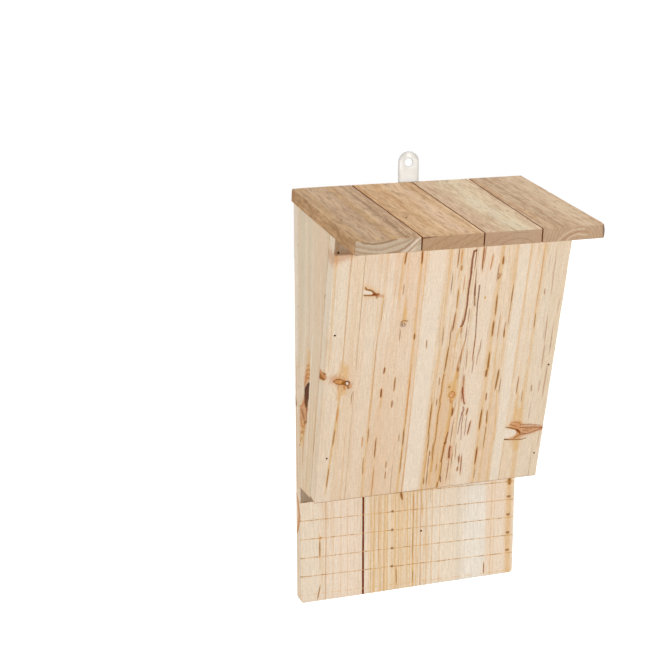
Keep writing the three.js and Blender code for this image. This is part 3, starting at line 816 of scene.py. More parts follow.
# The knot low on a side and the swirl around it, as millimetres before the wall and above the foot
SIDE_STROKES = [
    Stroke("tan", ((7, 62), (16, 77)), 17.0, 15.0, 0.7, 0.6),
    Stroke("tan", ((20, 99), (25, 110)), 12.0, 8.0, 0.6, 0.7),
    Stroke("amber", ((25, 108), (27, 125)), 8.0, 5.0, 0.6, 0.8),
    Stroke("amber", ((3, 43), (8, 56)), 9.0, 10.0, 0.6, 0.8),
    Stroke("orange", ((14.5, 94), (17, 99.5), (22, 102.6), (27, 103.2)), 2.4, 1.6, 0.8),
    Stroke("orange", ((16, 101), (20, 104.8), (27, 106.8)), 2.3, 1.8, 0.7),
    Stroke("orange", ((18, 106.5), (23, 109.5), (27.5, 110.5)), 2.1, 1.6, 0.6),
    Stroke("orange", ((21, 112), (27, 115)), 1.8, 1.3, 0.45),
    Stroke("brown", ((19, 75), (17.5, 70), (18.6, 64), (12, 60.6)), 2.9, 1.8, 0.6),
    Stroke("brown", ((7.5, 69), (12, 65.5)), 6.0, 4.0, 0.45, 0.7),
    Stroke("brown", ((5, 71), (8, 65.5), (13, 62.6), (17.4, 64)), 1.5, 1.5, 0.35),
    Stroke("brown", ((4, 64), (5, 56), (10, 50)), 1.3, 1.2, 0.3),
    Stroke("orange", ((13, 81), (9, 76), (4, 72.5), (1, 67)), 2.9, 2.1, 0.7),
    Stroke("orange", ((3, 62), (6, 57), (12, 57), (15, 61)), 2.3, 1.8, 0.7),
    Stroke("orange", ((3, 50), (8, 51.5), (12, 54)), 2.1, 1.6, 0.6),
    Stroke("orange", ((1, 42), (6, 46)), 1.8, 1.6, 0.5),
    Stroke("umber", ((25.6, 97.5), (19.6, 88.6)), 3.0, 11.5, 0.95, 0.25),
    Stroke("umber", ((19.6, 88.6), (17.4, 79.5)), 11.5, 8.4, 0.95, 0.3),
    Stroke("knot", ((26.6, 98.8), (21, 96), (16.5, 90), (14, 84)), 2.3, 1.8, 0.8),
    Stroke("knot", ((23.5, 95), (19, 84)), 2.4, 2.0, 0.4, 0.9),
    Stroke("brown", ((14, 79), (17, 76), (21, 75)), 1.8, 1.3, 0.7),
    Stroke("amber", ((31, 5), (33.5, 30), (38, 60), (42, 76), (44, 92)), 2.2, 1.8, 0.55, 0.7),
    Stroke("brown", ((30.2, 3), (30.8, 11)), 1.5, 1.1, 0.4),
    Stroke("brown", ((33, 24), (36, 44), (38.6, 60)), 0.8, 0.7, 0.2),
    Stroke("pale", ((36, 140), (31, 112), (28.4, 96), (26.8, 84), (23.2, 67), (20.8, 52), (18, 36)),
           2.4, 2.6, 0.75),
]

# The figure of each stave of the back board, from its face's lower left corner
BACK_FIGURE = {
    "back_stave_1": [
        Streak("pale", 8.0, BELOW, ABOVE, 14.0, 0.6, soft=0.8),
        Streak("ebdccb", 39.0, BELOW, ABOVE, 26.0, 0.75, soft=0.8),
        Streak("orange", 23.0, BELOW, ABOVE, 0.7, 0.25, 0.5),
        Streak("amber", 29.0, BELOW, ABOVE, 0.8, 0.4),
        Streak("amber", 17.0, 36, 64, 1.0, 0.7),
        Streak("brown", 17.2, 40, 56, 0.9, 0.8),
        Streak("orange", 17.5, 57, 59.2, 2.0, 0.9),
        Streak("brown", 16.5, 1, 15, 0.9, 0.6, 20.0),
        Streak("amber", 36.0, BELOW, ABOVE, 0.8, 0.4),
        Streak("amber", 42.0, BELOW, ABOVE, 0.8, 0.4),
        Streak("72300f", 56.6, BELOW, ABOVE, 1.9, 1.0, soft=0.18),
    ],
    "back_stave_2": [
        Streak("e2c8a2", 84.0, BELOW, ABOVE, 32.0, 0.7, soft=0.9),
        Streak("pale", 60.0, BELOW, ABOVE, 4.0, 0.5, soft=0.9),
        Streak("pale", 80.8, BELOW, ABOVE, 2.6, 0.5, soft=0.9),
        Streak("amber", 63.6, BELOW, ABOVE, 1.0, 0.6),
        Streak("amber", 66.6, BELOW, ABOVE, 1.3, 0.6),
        Streak("amber", 72.5, BELOW, ABOVE, 1.4, 0.6),
        Streak("amber", 76.8, BELOW, ABOVE, 1.0, 0.7),
        Streak("amber", 86.4, BELOW, ABOVE, 0.9, 0.7),
        Streak("amber", 89.6, BELOW, ABOVE, 0.9, 0.6),
        Streak("amber", 93.4, 20, ABOVE, 0.8, 0.6),
        Streak("orange", 71.0, 20, 90, 0.7, 0.35),
        Streak("orange", 75.8, BELOW, 66, 0.7, 0.3),
        Streak("amber", 79.0, BELOW, ABOVE, 1.2, 0.6),
        Streak("brown", 87.6, 4, 22, 0.8, 0.75, -4.0),
        Streak("brown", 92.0, 83, 91, 2.0, 0.8, -18.0),
        Streak("amber", 103.2, BELOW, ABOVE, 1.8, 0.7),
        Streak("brown", 103.0, 26, 60, 0.8, 0.25),
        Streak("orange", 103.3, 63, 88, 0.8, 0.4),
        Streak("brown", 103.4, 4, 16, 0.8, 0.3),
        Streak("amber", 98.0, BELOW, ABOVE, 0.9, 0.7),
        Streak("amber", 100.6, BELOW, ABOVE, 0.7, 0.6),
        Streak("amber", 106.6, BELOW, ABOVE, 0.9, 0.7),
        Streak("orange", 110.2, BELOW, ABOVE, 0.6, 0.4),
        Streak("amber", 115.5, BELOW, ABOVE, 0.9, 0.5),
    ],
    "back_stave_3": [
        Streak("e7dac6", 139.0, BELOW, ABOVE, 26.0, 0.8, soft=0.9),
        Streak("e8e4da", 162.0, BELOW, ABOVE, 24.0, 0.8, soft=0.9),
        Streak("orange", 118.6, BELOW, ABOVE, 0.7, 0.5),
        Streak("amber", 120.8, BELOW, ABOVE, 0.9, 0.55),
        Streak("amber", 128.0, BELOW, ABOVE, 0.8, 0.5),
        Streak("grey", 146.0, BELOW, ABOVE, 4.0, 0.4, soft=0.8),
        Streak("brown", 171.8, 2, 14, 0.9, 0.8),
    ],
    "back_stave_4": [
        Streak("e8d8c4", 184.0, BELOW, ABOVE, 30.0, 0.8, soft=0.9),
        Streak("amber", 177.6, BELOW, ABOVE, 1.2, 0.45),
        Streak("amber", 180.6, BELOW, ABOVE, 0.7, 0.5),
        Streak("amber", 194.6, BELOW, ABOVE, 5.6, 0.65, soft=0.8),
        Streak("brown", 194.4, 84, 92, 3.0, 0.8, soft=0.6),
    ],
}

# Marks on the back board's left edge, as millimetres behind its face and above its foot
BACK_EDGE_STROKES = [
    Stroke("tan", ((6.5, 91), (4.5, 80), (6.5, 67)), 5.0, 5.0, 0.55, 0.7),
    Stroke("orange", ((10, 97), (6, 91), (1.6, 80), (5, 70), (10, 62)), 2.4, 2.4, 0.75),
    Stroke("orange", ((6, 104), (8, 150), (7, 210)), 1.8, 1.2, 0.35, 0.8),
    Stroke("brown", ((8.5, 177), (11.5, 183)), 3.6, 2.4, 0.6),
    Stroke("pale", ((6, 225), (6, 400)), 11.0, 11.0, 0.7, 0.7),
]

# The figure of the sides, as millimetres before the wall and above the foot
SIDE_FIGURE = [
    Streak("grey", 9.0, 110, ABOVE, 14.0, 0.75, soft=0.9),
    Streak("grey", 27.0, 120, ABOVE, 7.0, 0.7, soft=0.9),
    Streak("cream", 19.0, 120, ABOVE, 4.0, 0.6, soft=0.9),
    Streak("warm", 44.0, 100, ABOVE, 13.0, 0.8, soft=0.8),
    Streak("pink", 56.0, 60, ABOVE, 14.0, 0.5, soft=0.9),
    Streak("amber", 38.0, BELOW, 130, 3.0, 0.5, soft=0.8),
    Streak("amber", 46.0, BELOW, 120, 2.0, 0.5, soft=0.8),
    Streak("orange", 26.0, 20, 70, 2.0, 0.4, soft=0.8),
    Streak("pale", 54.4, 120, 206, 2.0, 0.6, soft=0.5),
    Streak("brown", 65.0, 170, 182, 1.0, 0.6),
]

# Scorched places where the saw crossed two seams of resin: across, length and heights, in mm
SCORCHES = {
    "back_stave_2": (83.4, 0.3, (22.7, 39.7, 56.7, 73.7)),
    "back_stave_4": (194.2, 1.6, (22.4, 39.2, 56.3, 73.3)),
}


def wood_material(node, grain, slide, marks, ground, knots=(), shading=None):
    """A board's own wood: its ground, the painted shade that a shading function may lay, and its marks.
    """
    material, wood = new_finish(f"{node}_wood", Wood, grain, slide, knots)
    wood.ground(*ground)
    if shading:
        shading(wood)
    for mark in marks:
        wood.streak(mark)
    wood.end_grain(grain)
    return material, wood


def section(node):
    """Corners of a board's section across X, from the hull of its CAD mesh."""
    points = [vertex.co.yz for vertex in NODES[node].data.vertices]
    corners = []
    for i in convex_hull_2d(points):
        if all((points[i] - corner).length > TOUCH for corner in corners):
            corners.append(points[i])
    bends = []
    for i, here in enumerate(corners):
        before = corners[i - 1]
        run = corners[(i + 1) % len(corners)] - before
        if abs(run.cross(here - before)) > TOUCH * run.length:
            bends.append(here)
    return bends


# A face larger than this is no part of a rounding, and an edge that bends more is rounded
SMALLEST_FLAT = (5 * MM) ** 2
BEND = math.radians(40)

# In radii of an edge: where the loop beside it lies, and how far in a vertex still wears
LOOP_RADII = 1.8
WEAR_RADII = 1.05

# Mean share of the wear that an edge has, and of the depth that a broken corner has
MEAN_WEAR = 0.55
MEAN_BREAK = 0.7


def foot_corner(edge):
    """Whether an edge is a lower outer corner of the back board."""
    outer = [v for v in edge.verts if abs(abs(v.co.x) - BOX_RIGHT) < TOUCH]
    low = [v for v in edge.verts if abs(v.co.z - BACK_FOOT.z) < TOUCH]
    return len(outer) == 2 and len(low) == 2


def slice_mesh(mesh, place, normal):
    everything = mesh.verts[:] + mesh.edges[:] + mesh.faces[:]
    bmesh.ops.bisect_plane(mesh, geom=everything, dist=TOUCH / 10, plane_co=place, plane_no=normal)


def loft(outlines):
    """A solid through like outlines, closed by the first and the last."""
    mesh = bmesh.new()
    rings = [[mesh.verts.new(place) for place in outline] for outline in outlines]
    mesh.faces.new(rings[0])
    mesh.faces.new(rings[-1][::-1])
    for near, far in zip(rings, rings[1:]):
        for i in range(len(near)):
            mesh.faces.new([near[i - 1], near[i], far[i], far[i - 1]])
    bmesh.ops.recalc_face_normals(mesh, faces=mesh.faces)
    return mesh


def rounded(mesh, edges, radius, segments=3):
    bmesh.ops.bevel(
        mesh, geom=edges, offset=radius, segments=segments, profile=0.5, affect="EDGES")


def board_mesh(node, along, joints=(), foot_radius=0.0):
    """A board as its CAD node has it, with rounded, worn edges and loops along its grain.

    Joints are the places along X where it is glued to its neighbour, and stay sharp."""
    timber = bpy.context.scene.bat_box_timber
    radius = timber.edge_radius
    low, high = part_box(node)
    outline = section(node)
    mesh = loft([[(x, *corner) for corner in outline] for x in (low.x, high.x)])
    if foot_radius:
        rounded(mesh, [edge for edge in mesh.edges if foot_corner(edge)], foot_radius, segments=6)

    def glued(edge):
        return any(all(abs(v.co.x - x) < TOUCH for v in edge.verts) for x in joints)

    flats = [face for face in mesh.faces if face.calc_area() > SMALLEST_FLAT]
    planes = [(face.calc_center_median(), face.normal.copy()) for face in flats]
    free = [p for p in planes if not any(abs(p[0].x - x) < TOUCH for x in joints)]
    rounded(mesh, [e for e in mesh.edges if e.calc_face_angle(0) > BEND and not glued(e)], radius)
    for place, normal in planes:
        slice_mesh(mesh, place - normal * radius * LOOP_RADII, normal)
    reaches = [along.dot(vertex.co) for vertex in mesh.verts]
    steps = max(1, round((max(reaches) - min(reaches)) / timber.mesh_step))
    for i in range(1, steps):
        reach = min(reaches) + (max(reaches) - min(reaches)) * i / steps
        slice_mesh(mesh, along * reach, along)
    for vertex in mesh.verts:
        near = sum((p[0] - vertex.co).dot(p[1]) < radius * WEAR_RADII for p in free)
        if near > 1:
            worn = MEAN_WEAR + noise.noise(vertex.co / timber.wear_length)
            vertex.co -= vertex.normal * timber.edge_wear * (near - 1) * worn
    return mesh


def chip(mesh, place, way_out, size, depth):
    """Breaks a corner: pushes in what lies within a size of a place."""
    outward = way_out.normalized()
    crumb = 1.5 * MM
    for _ in range(2):
        near = [e for e in mesh.edges if any((v.co - place).length < size * 1.2 for v in e.verts)]
        bmesh.ops.subdivide_edges(mesh, edges=near, cuts=1, use_grid_fill=True)
    for vertex in mesh.verts:
        share = 1 - (vertex.co - place).length / size
        if share > 0:
            rough = MEAN_BREAK + noise.noise(vertex.co / crumb)
            vertex.co -= outward * depth * share * rough


def turned(profile, place, axis, sides=20):
    """A turned solid: pairs of distance along the axis and radius, from end to end."""
    mesh = bmesh.new()
    turn = UP.rotation_difference(axis)
    rings = []
    for reach, radius in profile:
        ring = []
        for i in range(sides if radius else 1):
            angle = 2 * math.pi * i / sides
            spot = Vector((radius * math.cos(angle), radius * math.sin(angle), reach))
            ring.append(mesh.verts.new(place + turn @ spot))
        rings.append(ring)
    for lower, upper in zip(rings, rings[1:]):
        for i in range(sides):
            corners = [lower[i % len(lower)], lower[(i + 1) % sides % len(lower)],
                       upper[(i + 1) % sides % len(upper)], upper[i % len(upper)]]
            mesh.faces.new(dict.fromkeys(corners))
    bmesh.ops.recalc_face_normals(mesh, faces=mesh.faces)
    return mesh


def placed(name, data):
    """A new object in the scene."""
    thing = bpy.data.objects.new(name, data)
    bpy.context.scene.collection.objects.link(thing)
    return thing


def new_object(name, mesh):
    """An object in the scene that takes over a bmesh."""
    data = bpy.data.meshes.new(name)
    mesh.to_mesh(data)
    mesh.free()
    return placed(name, data)


def merge(meshes):
    """Joins separate bmeshes into one."""
    whole = bmesh.new()
    for mesh in meshes:
        data = bpy.data.meshes.new("part")
        mesh.to_mesh(data)
        mesh.free()
        whole.from_mesh(data)
        bpy.data.meshes.remove(data)
    return whole


def cut(piece, cutters):
    """Cuts solids out of a piece."""
    tool = new_object(f"{piece.name}_cutters", merge(cutters))
    knife = piece.modifiers.new("cut", "BOOLEAN")
    knife.operation = "DIFFERENCE"
    knife.solver = "EXACT"
    knife.object = tool
    graph = bpy.context.evaluated_depsgraph_get()
    shape = bpy.data.meshes.new_from_object(piece.evaluated_get(graph))
    if not shape.polygons:
        raise RuntimeError(f"{piece.name}: the cut left nothing")
    piece.modifiers.clear()
    piece.data = shape
    bpy.data.objects.remove(tool)


def smooth(piece):
    """Smooths the shading, except across edges that bend more than 32 degrees."""
    mesh = bmesh.new()
    mesh.from_mesh(piece.data)
    bmesh.ops.remove_doubles(mesh, verts=mesh.verts, dist=TOUCH / 10)
    for face in mesh.faces:
        face.smooth = True
    for edge in mesh.edges:
        edge.smooth = edge.calc_face_angle(0) < math.radians(32)
    mesh.to_mesh(piece.data)
    mesh.free()


def finish_piece(piece, material, slot, *nodes):
    """Gives a piece its material, and lets it stand for its CAD nodes; the slot it is given is not used.
    """
    smooth(piece)
    piece.data.materials.clear()
    piece.data.materials.append(material)
    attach(piece, "root")
    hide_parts(*nodes)


def head_place(node, outward):
    """The middle of a CAD nail's or screw's head, where it points outward."""
    places = [vertex.co for vertex in NODES[node].data.vertices]
    top = max(outward.dot(place) for place in places)
    face = [place for place in places if outward.dot(place) > top - TOUCH]
    return sum(face, Vector()) / len(face)


# Bores around a nail and a screw, in mm: the way out from the head's face, and the radius
NAIL_BORE = [(-25.2, 0), (-23, 0.75), (-1.2, 0.75), (-1.1, 0.95), (0.2, 0.95), (5, 1.0), (5, 0)]
SCREW_BORE = [(-14, 0), (-14, 1.7), (4, 1.7), (4, 0)]


def bore(node, profile, outward):
    sizes = [(reach * MM, radius * MM) for reach, radius in profile]
    return turned(sizes, head_place(node, outward), outward)


def nail_bores(family):
    """Bores around the nails of one family, open past the face."""
    bores = []
    for node in NAILS:
        if node.startswith(family):
            outward = next(way for stem, way in NAIL_WAYS.items() if node.startswith(stem))
            bores.append(bore(node, NAIL_BORE, outward))
    return bores


# How far a cutter runs past the wood
OVERRUN = 2 * MM


def groove_cutter():
    """Thin saw kerfs across the whole back board, of uneven depth."""
    timber = bpy.context.scene.bat_box_timber
    face = BACK_FOOT.y
    half = timber.groove_width / 2
    left, right = BOX_LEFT - OVERRUN, BOX_RIGHT + OVERRUN
    steps = 90
    chatter_length, chatter_height, chatter_share = 6 * MM, 9 * MM, 1.1
    wander, wander_length, wanders_per_metre = 0.3 * MM, 11 * MM, 90
    meshes = []
    height = BACK_FOOT.z + timber.first_groove
    while height < BACK_HEAD.z - timber.groove_pitch / 2:
        outlines = []
        for i in range(steps + 1):
            x = left + (right - left) * i / steps
            chatter = noise.noise(Vector((x / chatter_length, height / chatter_height, 0)))
            depth = timber.groove_depth * (1 + chatter_share * chatter)
            middle = height + x * math.tan(timber.groove_slant)
            middle += wander * noise.noise(
                Vector((x / wander_length, height * wanders_per_metre, 3)))
            outlines.append([
                (x, face - OVERRUN, middle - half), (x, face + depth, middle - half),
                (x, face + depth, middle + half), (x, face - OVERRUN, middle + half)])
        meshes.append(loft(outlines))
        height += timber.groove_pitch
    return meshes


def stave_joints(nodes):
    """The places along X where neighbouring staves are glued."""
    return [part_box(node)[1].x for node in nodes[:-1]]


class BATBOX_OT_back_board(bpy.types.Operator):
    """Build the back board: four glued staves with climbing grooves and a rounded foot"""

    bl_idname = "batbox.back_board"
    bl_label = "Back board"

    def execute(self, context):
        timber = context.scene.bat_box_timber
        grain = Grain(Vector((BOX_LEFT, BACK_FOOT.y, BACK_FOOT.z)), RIGHT, UP, -WALLWARD)
        grounds = [("cream", "warm", "amber", 0.5), ("cream", "warm", "amber", 0.8),
                   ("pale", "cream", "amber", 0.4), ("cream", "pink", "amber", 0.45)]
        joints = stave_joints(BACK_STAVES)
        for i, node in enumerate(BACK_STAVES):
            piece = new_object(f"{node}_worn", board_mesh(node, UP, joints, timber.foot_radius))
            cut(piece, groove_cutter())
            cut(piece, self.bores(timber))
            material, wood = wood_material(
                node, grain, (3.1 * i, 5.7, 2.3 * i), BACK_FIGURE[node], grounds[i])
            self.kerfs(node, wood, timber)
            if i == 0:
                edge = wood.face_across.fade(0.6, 0.3)
                for mark in BACK_EDGE_STROKES:
                    wood.stroke(mark, wood.vector(wood.deep, wood.along, 0.0), edge)
            wood.done()
            finish_piece(piece, material, "back_wood", node)
        return {"FINISHED"}

    def bores(self, timber):
        """Bores for the nails, the plate's screws and the lower fixing."""
        place = Vector((timber.fixing_offset, BACK_FOOT.y, BACK_FOOT.z + timber.fixing_height))
        reach = BACK_HEAD.y - BACK_FOOT.y + OVERRUN
        radius = timber.fixing_radius
        fixing = [(-OVERRUN, 0), (-OVERRUN, radius), (reach, radius), (reach, 0)]
        return [*nail_bores("back_nail"), *nail_bores("roof_nail_back"),
                *[bore(screw, SCREW_BORE, WALLWARD) for screw in SCREWS],
                turned(fixing, place, WALLWARD)]

    def kerfs(self, node, wood, timber):
        """Stains the saw grooves and the wood along them, in places."""
        pitch = timber.groove_pitch / MM
        level = (wood.face_across + BOX_LEFT / MM) * math.tan(timber.groove_slant)
        steps = (wood.along - level - timber.first_groove / MM) / pitch + 0.5
        off = abs(steps.fraction() - 0.5) * pitch
        front = wood.deep.fade(2.0, 1.0)
        sawn = wood.deep.fade(0.02, 0.12) * front
        singed = wood.noise((4, 30, 50), shift=13.0)
        reach = 0.8
        wood.paint(off.fade(reach, 0.2) * front * singed.fade(0.42, 0.6, 0.5), "dcb06a")
        wood.paint(off.fade(reach, 0.5, 0.85) * sawn, "amber")
        wood.paint(off.fade(reach, 0.5) * sawn * singed.fade(0.5, 0.62, 0.7), "brown")
        across, length, heights = SCORCHES.get(node, (0, 0, ()))
        for height in heights:
            places = ((across - length / 2, height), (across + length / 2, height))
            wood.stroke(Stroke("brown", places, 2.2, 2.2, 0.7, 0.6), where=front)


class BATBOX_OT_sides(bpy.types.Operator):
    """Build the two tapering side panels"""

    bl_idname = "batbox.sides"
    bl_label = "Side panels"

    def execute(self, context):
        for node, x, outward in (("side_left", BOX_LEFT, -RIGHT), ("side_right", BOX_RIGHT, RIGHT)):
            rear = support(node, 0, 1, -1)
            grain = Grain(Vector((x, rear.y, rear.z)), -WALLWARD, UP, outward)
            piece = new_object(f"{node}_worn", board_mesh(node, UP))
            cut(piece, nail_bores("front_nail") + nail_bores("back_nail"))
            material, wood = new_finish(f"{node}_wood", Wood, grain, (8.3, 1.9, x * 40), ())
            above_knot = wood.along - 140
            bend = above_knot.least(0.0) * 0.165 + above_knot.most(0.0) * 0.04
            wood.across = wood.across - bend
            wood.place = wood.vector(wood.across, wood.along, wood.deep)
            wood.ground("e2d3bc", "dfcaac", "amber", 0.25)
            for mark in SIDE_FIGURE:
                wood.streak(mark)
            for mark in SIDE_STROKES:
                wood.stroke(mark)
            wood.end_grain(grain)
            wood.done()
            finish_piece(piece, material, "side_wood", node)
        return {"FINISHED"}


class BATBOX_OT_front_panel(bpy.types.Operator):
    """Build the front panel: five glued staves that lie on the sides' slanting edges"""

    bl_idname = "batbox.front_panel"
    bl_label = "Front panel"

    def execute(self, context):
        grain = Grain(FRONT_FACE, RIGHT, FRONT_UP, FRONT_OUT)
        grounds = [("cream", "warm", "amber", 0.35), ("cream", "pink", "amber", 0.35),
                   ("cream", "warm", "amber", 0.55), ("cream", "warm", "amber", 0.45),
                   ("cream", "warm", "amber", 0.3)]
        parting_knots = [[Knot(15.5, 113.5, 8.5, 3.4)], [Knot(62, 160, 1.7, 1.5)],
                         [Knot(111.5, 91.5, 2.3, 2.5)], [], []]
        joints = stave_joints(FRONT_STAVES)
        for i, node in enumerate(FRONT_STAVES):
            piece = new_object(f"{node}_worn", board_mesh(node, FRONT_UP, joints))
            cut(piece, nail_bores("front_nail") + nail_bores("roof_nail_front"))
            slide = (4.7 * i + 1, 2.2 * i, 9.1)
            # Painted shade: each front stave is painted warmer and darker towards its foot
            material, wood = wood_material(
                node, grain, slide, FRONT_FIGURE[node], grounds[i], parting_knots[i],
                shading=lambda wood: wood.paint(wood.along.fade(190, 0, 0.45), "warm"))
            if i == 0:
                self.edge_knot(wood)
            for scatter in FRONT_DASHES.get(node, ()):
                wood.dashes(*scatter)
            for knot in FRONT_KNOTS.get(node, ()):
                wood.knot(*knot)
            for mark in FRONT_STROKES[node]:
                wood.stroke(mark)
            # A brown band along the foot, which is cut level
            wood.paint(wood.along.fade(3.7, 3.1, 0.7), "brown")
            wood.done()
            finish_piece(piece, material, "front_wood", node)
        return {"FINISHED"}

    def edge_knot(self, wood):
        """Where the knot comes out on the panel's left edge."""
        edge = wood.face_across.fade(1.2, 0.7)
        off = (wood.deep - 5.0) / 7.8
        up = (wood.along - 120.7 + wood.deep * 0.38) / 3.1
        spread = ((off * off) ** 2.0 + (up * up) ** 2.0) ** 0.25 + (wood.fray - 0.5) * 0.5
        wood.paint(spread.fade(2.2, 0.9, 0.5) * edge, "amber")
        wood.paint(spread.fade(1.2, 0.95) * edge, "brown")
        wood.paint(spread.fade(0.8, 0.35, 0.5) * edge, "orange")


# How far the roof's edges and seams stand off the even spacing, in mm at the rear and the front
ROOF_DRIFT = [(0.0, 1.2), (0.3, 2.0), (1.6, 0.5), (2.0, -3.3), (0.0, -1.6)]


def drifted(vertex):
    """Moves a roof vertex sideways with the seams beside it."""
    share = ROOF_DOWN.dot(vertex.co - ROOF_HEEL) / (ROOF_TOE - ROOF_HEEL).length
    place = (1 - vertex.co.x / ROOF_LEFT) / 2 * (len(ROOF_DRIFT) - 1)
    seam = min(int(place), len(ROOF_DRIFT) - 2)
    near, far = [rear + (front - rear) * share for rear, front in ROOF_DRIFT[seam:seam + 2]]
    vertex.co.x += (near + (far - near) * (place - seam)) * MM


class RoofLook(NamedTuple):
    """Colours and ring layout of one roof board, in millimetres."""

    light: str
    dark: str
    ring: str
    end: str
    pith_across: float
    pith_deep: float
    ring_pitch: float
    ring_share: float
    end_share: float


ROOF_LOOKS = [
    RoofLook("cba77e", "ac8459", "8e6a42", "c2b49e", 20.0, -40.0, 6.5, 0.45, 0.9),
    RoofLook("dcb88c", "c4945f", "a87c4a", "aa8c6c", 75.0, 38.0, 4.5, 0.3, 0.85),
    RoofLook("dfc9a6", "caa67e", "b48e66", "aa8c72", 28.0, 17.0, 3.6, 0.3, 0.85),
    RoofLook("d2b694", "b68c64", "a67e58", "b69c80", 28.0, 18.0, 2.6, 0.4, 0.85),
]

# Bands along each roof board: place across, width, colour, strength
ROOF_BANDS = {
    "roof_board_1": [
        (4.5, 9.0, "b78c55", 0.8), (14.0, 8.0, "c6a888", 0.5), (31.0, 8.0, "b88e50", 0.8),
        (24.0, 6.0, "a8866a", 0.5), (42.0, 3.4, "80582e", 0.95), (46.8, 2.0, "9a7450", 0.6),
        (36.0, 4.0, "c8a684", 0.5), (50.2, 1.5, "84502a", 0.8),
    ],
    "roof_board_2": [
        (0.8, 1.6, "9a6236", 0.7), (2.6, 3.0, "c8904e", 0.6), (9.0, 8.0, "cca47c", 0.6),
        (18.0, 9.0, "c0905a", 0.8), (35.0, 16.0, "dcbc9c", 0.8), (27.0, 3.0, "c0946a", 0.5),
        (46.0, 4.0, "c8a07a", 0.5), (50.6, 1.2, "925c32", 0.7),
    ],
    "roof_board_3": [
        (7.0, 11.0, "cca688", 0.8), (15.0, 3.0, "c49e7a", 0.5), (28.0, 20.0, "dccdae", 0.9),
        (43.0, 8.0, "d2b494", 0.6), (49.6, 1.6, "a0703f", 0.75),
    ],
    "roof_board_4": [
        (0.6, 1.8, "965a2c", 0.85), (3.0, 4.0, "c48e54", 0.7), (6.0, 3.0, "c8a47c", 0.6),
        (9.0, 3.0, "ac8258", 0.6), (14.0, 5.0, "a07850", 0.8), (21.0, 4.0, "b08a64", 0.6),
        (36.0, 18.0, "d8be9c", 0.8), (28.0, 3.0, "c09a72", 0.5), (49.0, 4.0, "c89e74", 0.6),
    ],
}

# Rings and cracks on each roof board's front end, as millimetres across and below the top
ROOF_STROKES = {
    "roof_board_1": [
        Stroke("b09474", ((7, -0.6), (32, -0.6)), 4.6, 4.6, 0.8),
        Stroke("8c6a4a", ((3, -1), (8, 1.8), (15, 2.9), (22, 2.6), (28, 1.4), (35, -1)), 1.3, 1.5, 0.9),
        Stroke("pale", ((50, 1), (45, 8), (40, 11)), 4.0, 6.0, 0.4, 0.6),
        Stroke("9c7c5c", ((49, -0.5), (45.5, 2.9), (39.5, 7.6), (34, 9.8), (26, 11)), 1.5, 1.9, 0.9),
        Stroke("a88a6a", ((52, 1.4), (50.5, 2.9), (46.5, 6.7), (42, 11)), 1.1, 1.5, 0.8),
        Stroke("a88c6c", ((0, 7), (5, 8.6), (12, 10), (20, 11)), 1.6, 1.6, 0.8),
        Stroke("b09474", ((38, -0.5), (50, 0.2)), 2.0, 2.0, 0.7),
    ],
    "roof_board_2": [
        Stroke("946c48", ((5, 9.5), (14, 5.5), (25, 0)), 1.0, 1.0, 0.4),
        Stroke("946c48", ((17, 10.5), (30, 5.5), (42, 0)), 1.0, 1.2, 0.4),
        Stroke("946c48", ((31, 11), (43, 6), (51, 2)), 1.0, 1.0, 0.4),
        Stroke("5e2a10", ((2.5, 0.9), (8, 0.6), (14, 0.2)), 1.7, 0.6, 0.95),
    ],
    "roof_board_3": [
        Stroke("946c52", ((14, 10), (20, 7.2), (28, 6), (36, 7.4), (41, 10.5)), 1.0, 1.0, 0.45),
        Stroke("946c52", ((6, 9), (14, 4.5), (24, 1.8), (36, 2)), 0.9, 0.9, 0.35),
    ],
    "roof_board_4": [
        Stroke("54443a", ((47.8, 0.5), (48.8, 9.5)), 2.8, 2.2, 0.95),
        Stroke("d2bea2", ((10, 10), (15, 5.5), (22, 2.6), (31, 2.4)), 1.4, 1.4, 0.5),
        Stroke("d8c6aa", ((17, 10.5), (21, 7.4), (27, 6), (33, 7.4)), 1.2, 1.2, 0.5),
        Stroke("brown", ((13.5, 10.5), (18, 6.6), (26, 4.2), (35, 5.2)), 0.9, 0.9, 0.3),
    ],
}


def roof_rings(wood, look):
    """Late wood of the rings around a pith that lies above or below the board."""
    lift = wood.noise((30, 60, 60), detail=1.0, roughness=0.5, shift=4.0) - 0.5
    off = wood.across - look.pith_across
    down = wood.deep - look.pith_deep + lift * 7.0 + wood.along * 0.03
    rings = (off * off + down * down) ** 0.5 / look.ring_pitch
    share = rings.fraction()
    return share.fade(0.45, 0.93) * share.fade(1.0, 0.94)


def roof_faces(wood, look, bands, late):
    """Weathered faces: broad bands, a cloud along the grain, and faint rings."""
    slow = wood.noise((9, 120, 30), roughness=0.5)
    wood.colour = wood.mix(slow.fade(0.35, 0.65), tint(look.light), tint(look.dark))
    patches = wood.noise((10, 34, 12), shift=25.0).fade(0.32, 0.6, 0.5) + 0.5
    for across, width, colour, strength in bands:
        off = abs(wood.across - across) / (width / 2) + (wood.rag - 0.5) * 1.6
        wood.paint(off.fade(1.7, 0.1, strength) * patches, colour)
    cloud = wood.noise((2.6, 15, 6), detail=4.0, roughness=0.7, shift=15.0)
    wood.paint(cloud.fade(0.48, 0.66, 0.75), look.ring)
    wood.paint(cloud.fade(0.5, 0.36, 0.65), look.light)
    wood.paint(late * look.ring_share * 0.4, look.ring)


def roof_ends(wood, look, strokes, late, ends):
    """Sawn ends, with rings, pores and cracks, over the colour of the faces."""
    faces = wood.colour
    pores = wood.noise((0.5, 0.5, 0.5), shift=20.0)
    wood.colour = wood.mix(late * 0.5, tint(look.end), tint(look.ring))
    wood.paint(pores.fade(0.4, 0.7, 0.25), look.ring)
    for mark in strokes:
        wood.stroke(mark, wood.vector(wood.face_across, wood.deep, 0.0))
    wood.colour = wood.mix(ends * look.end_share, faces, wood.colour)


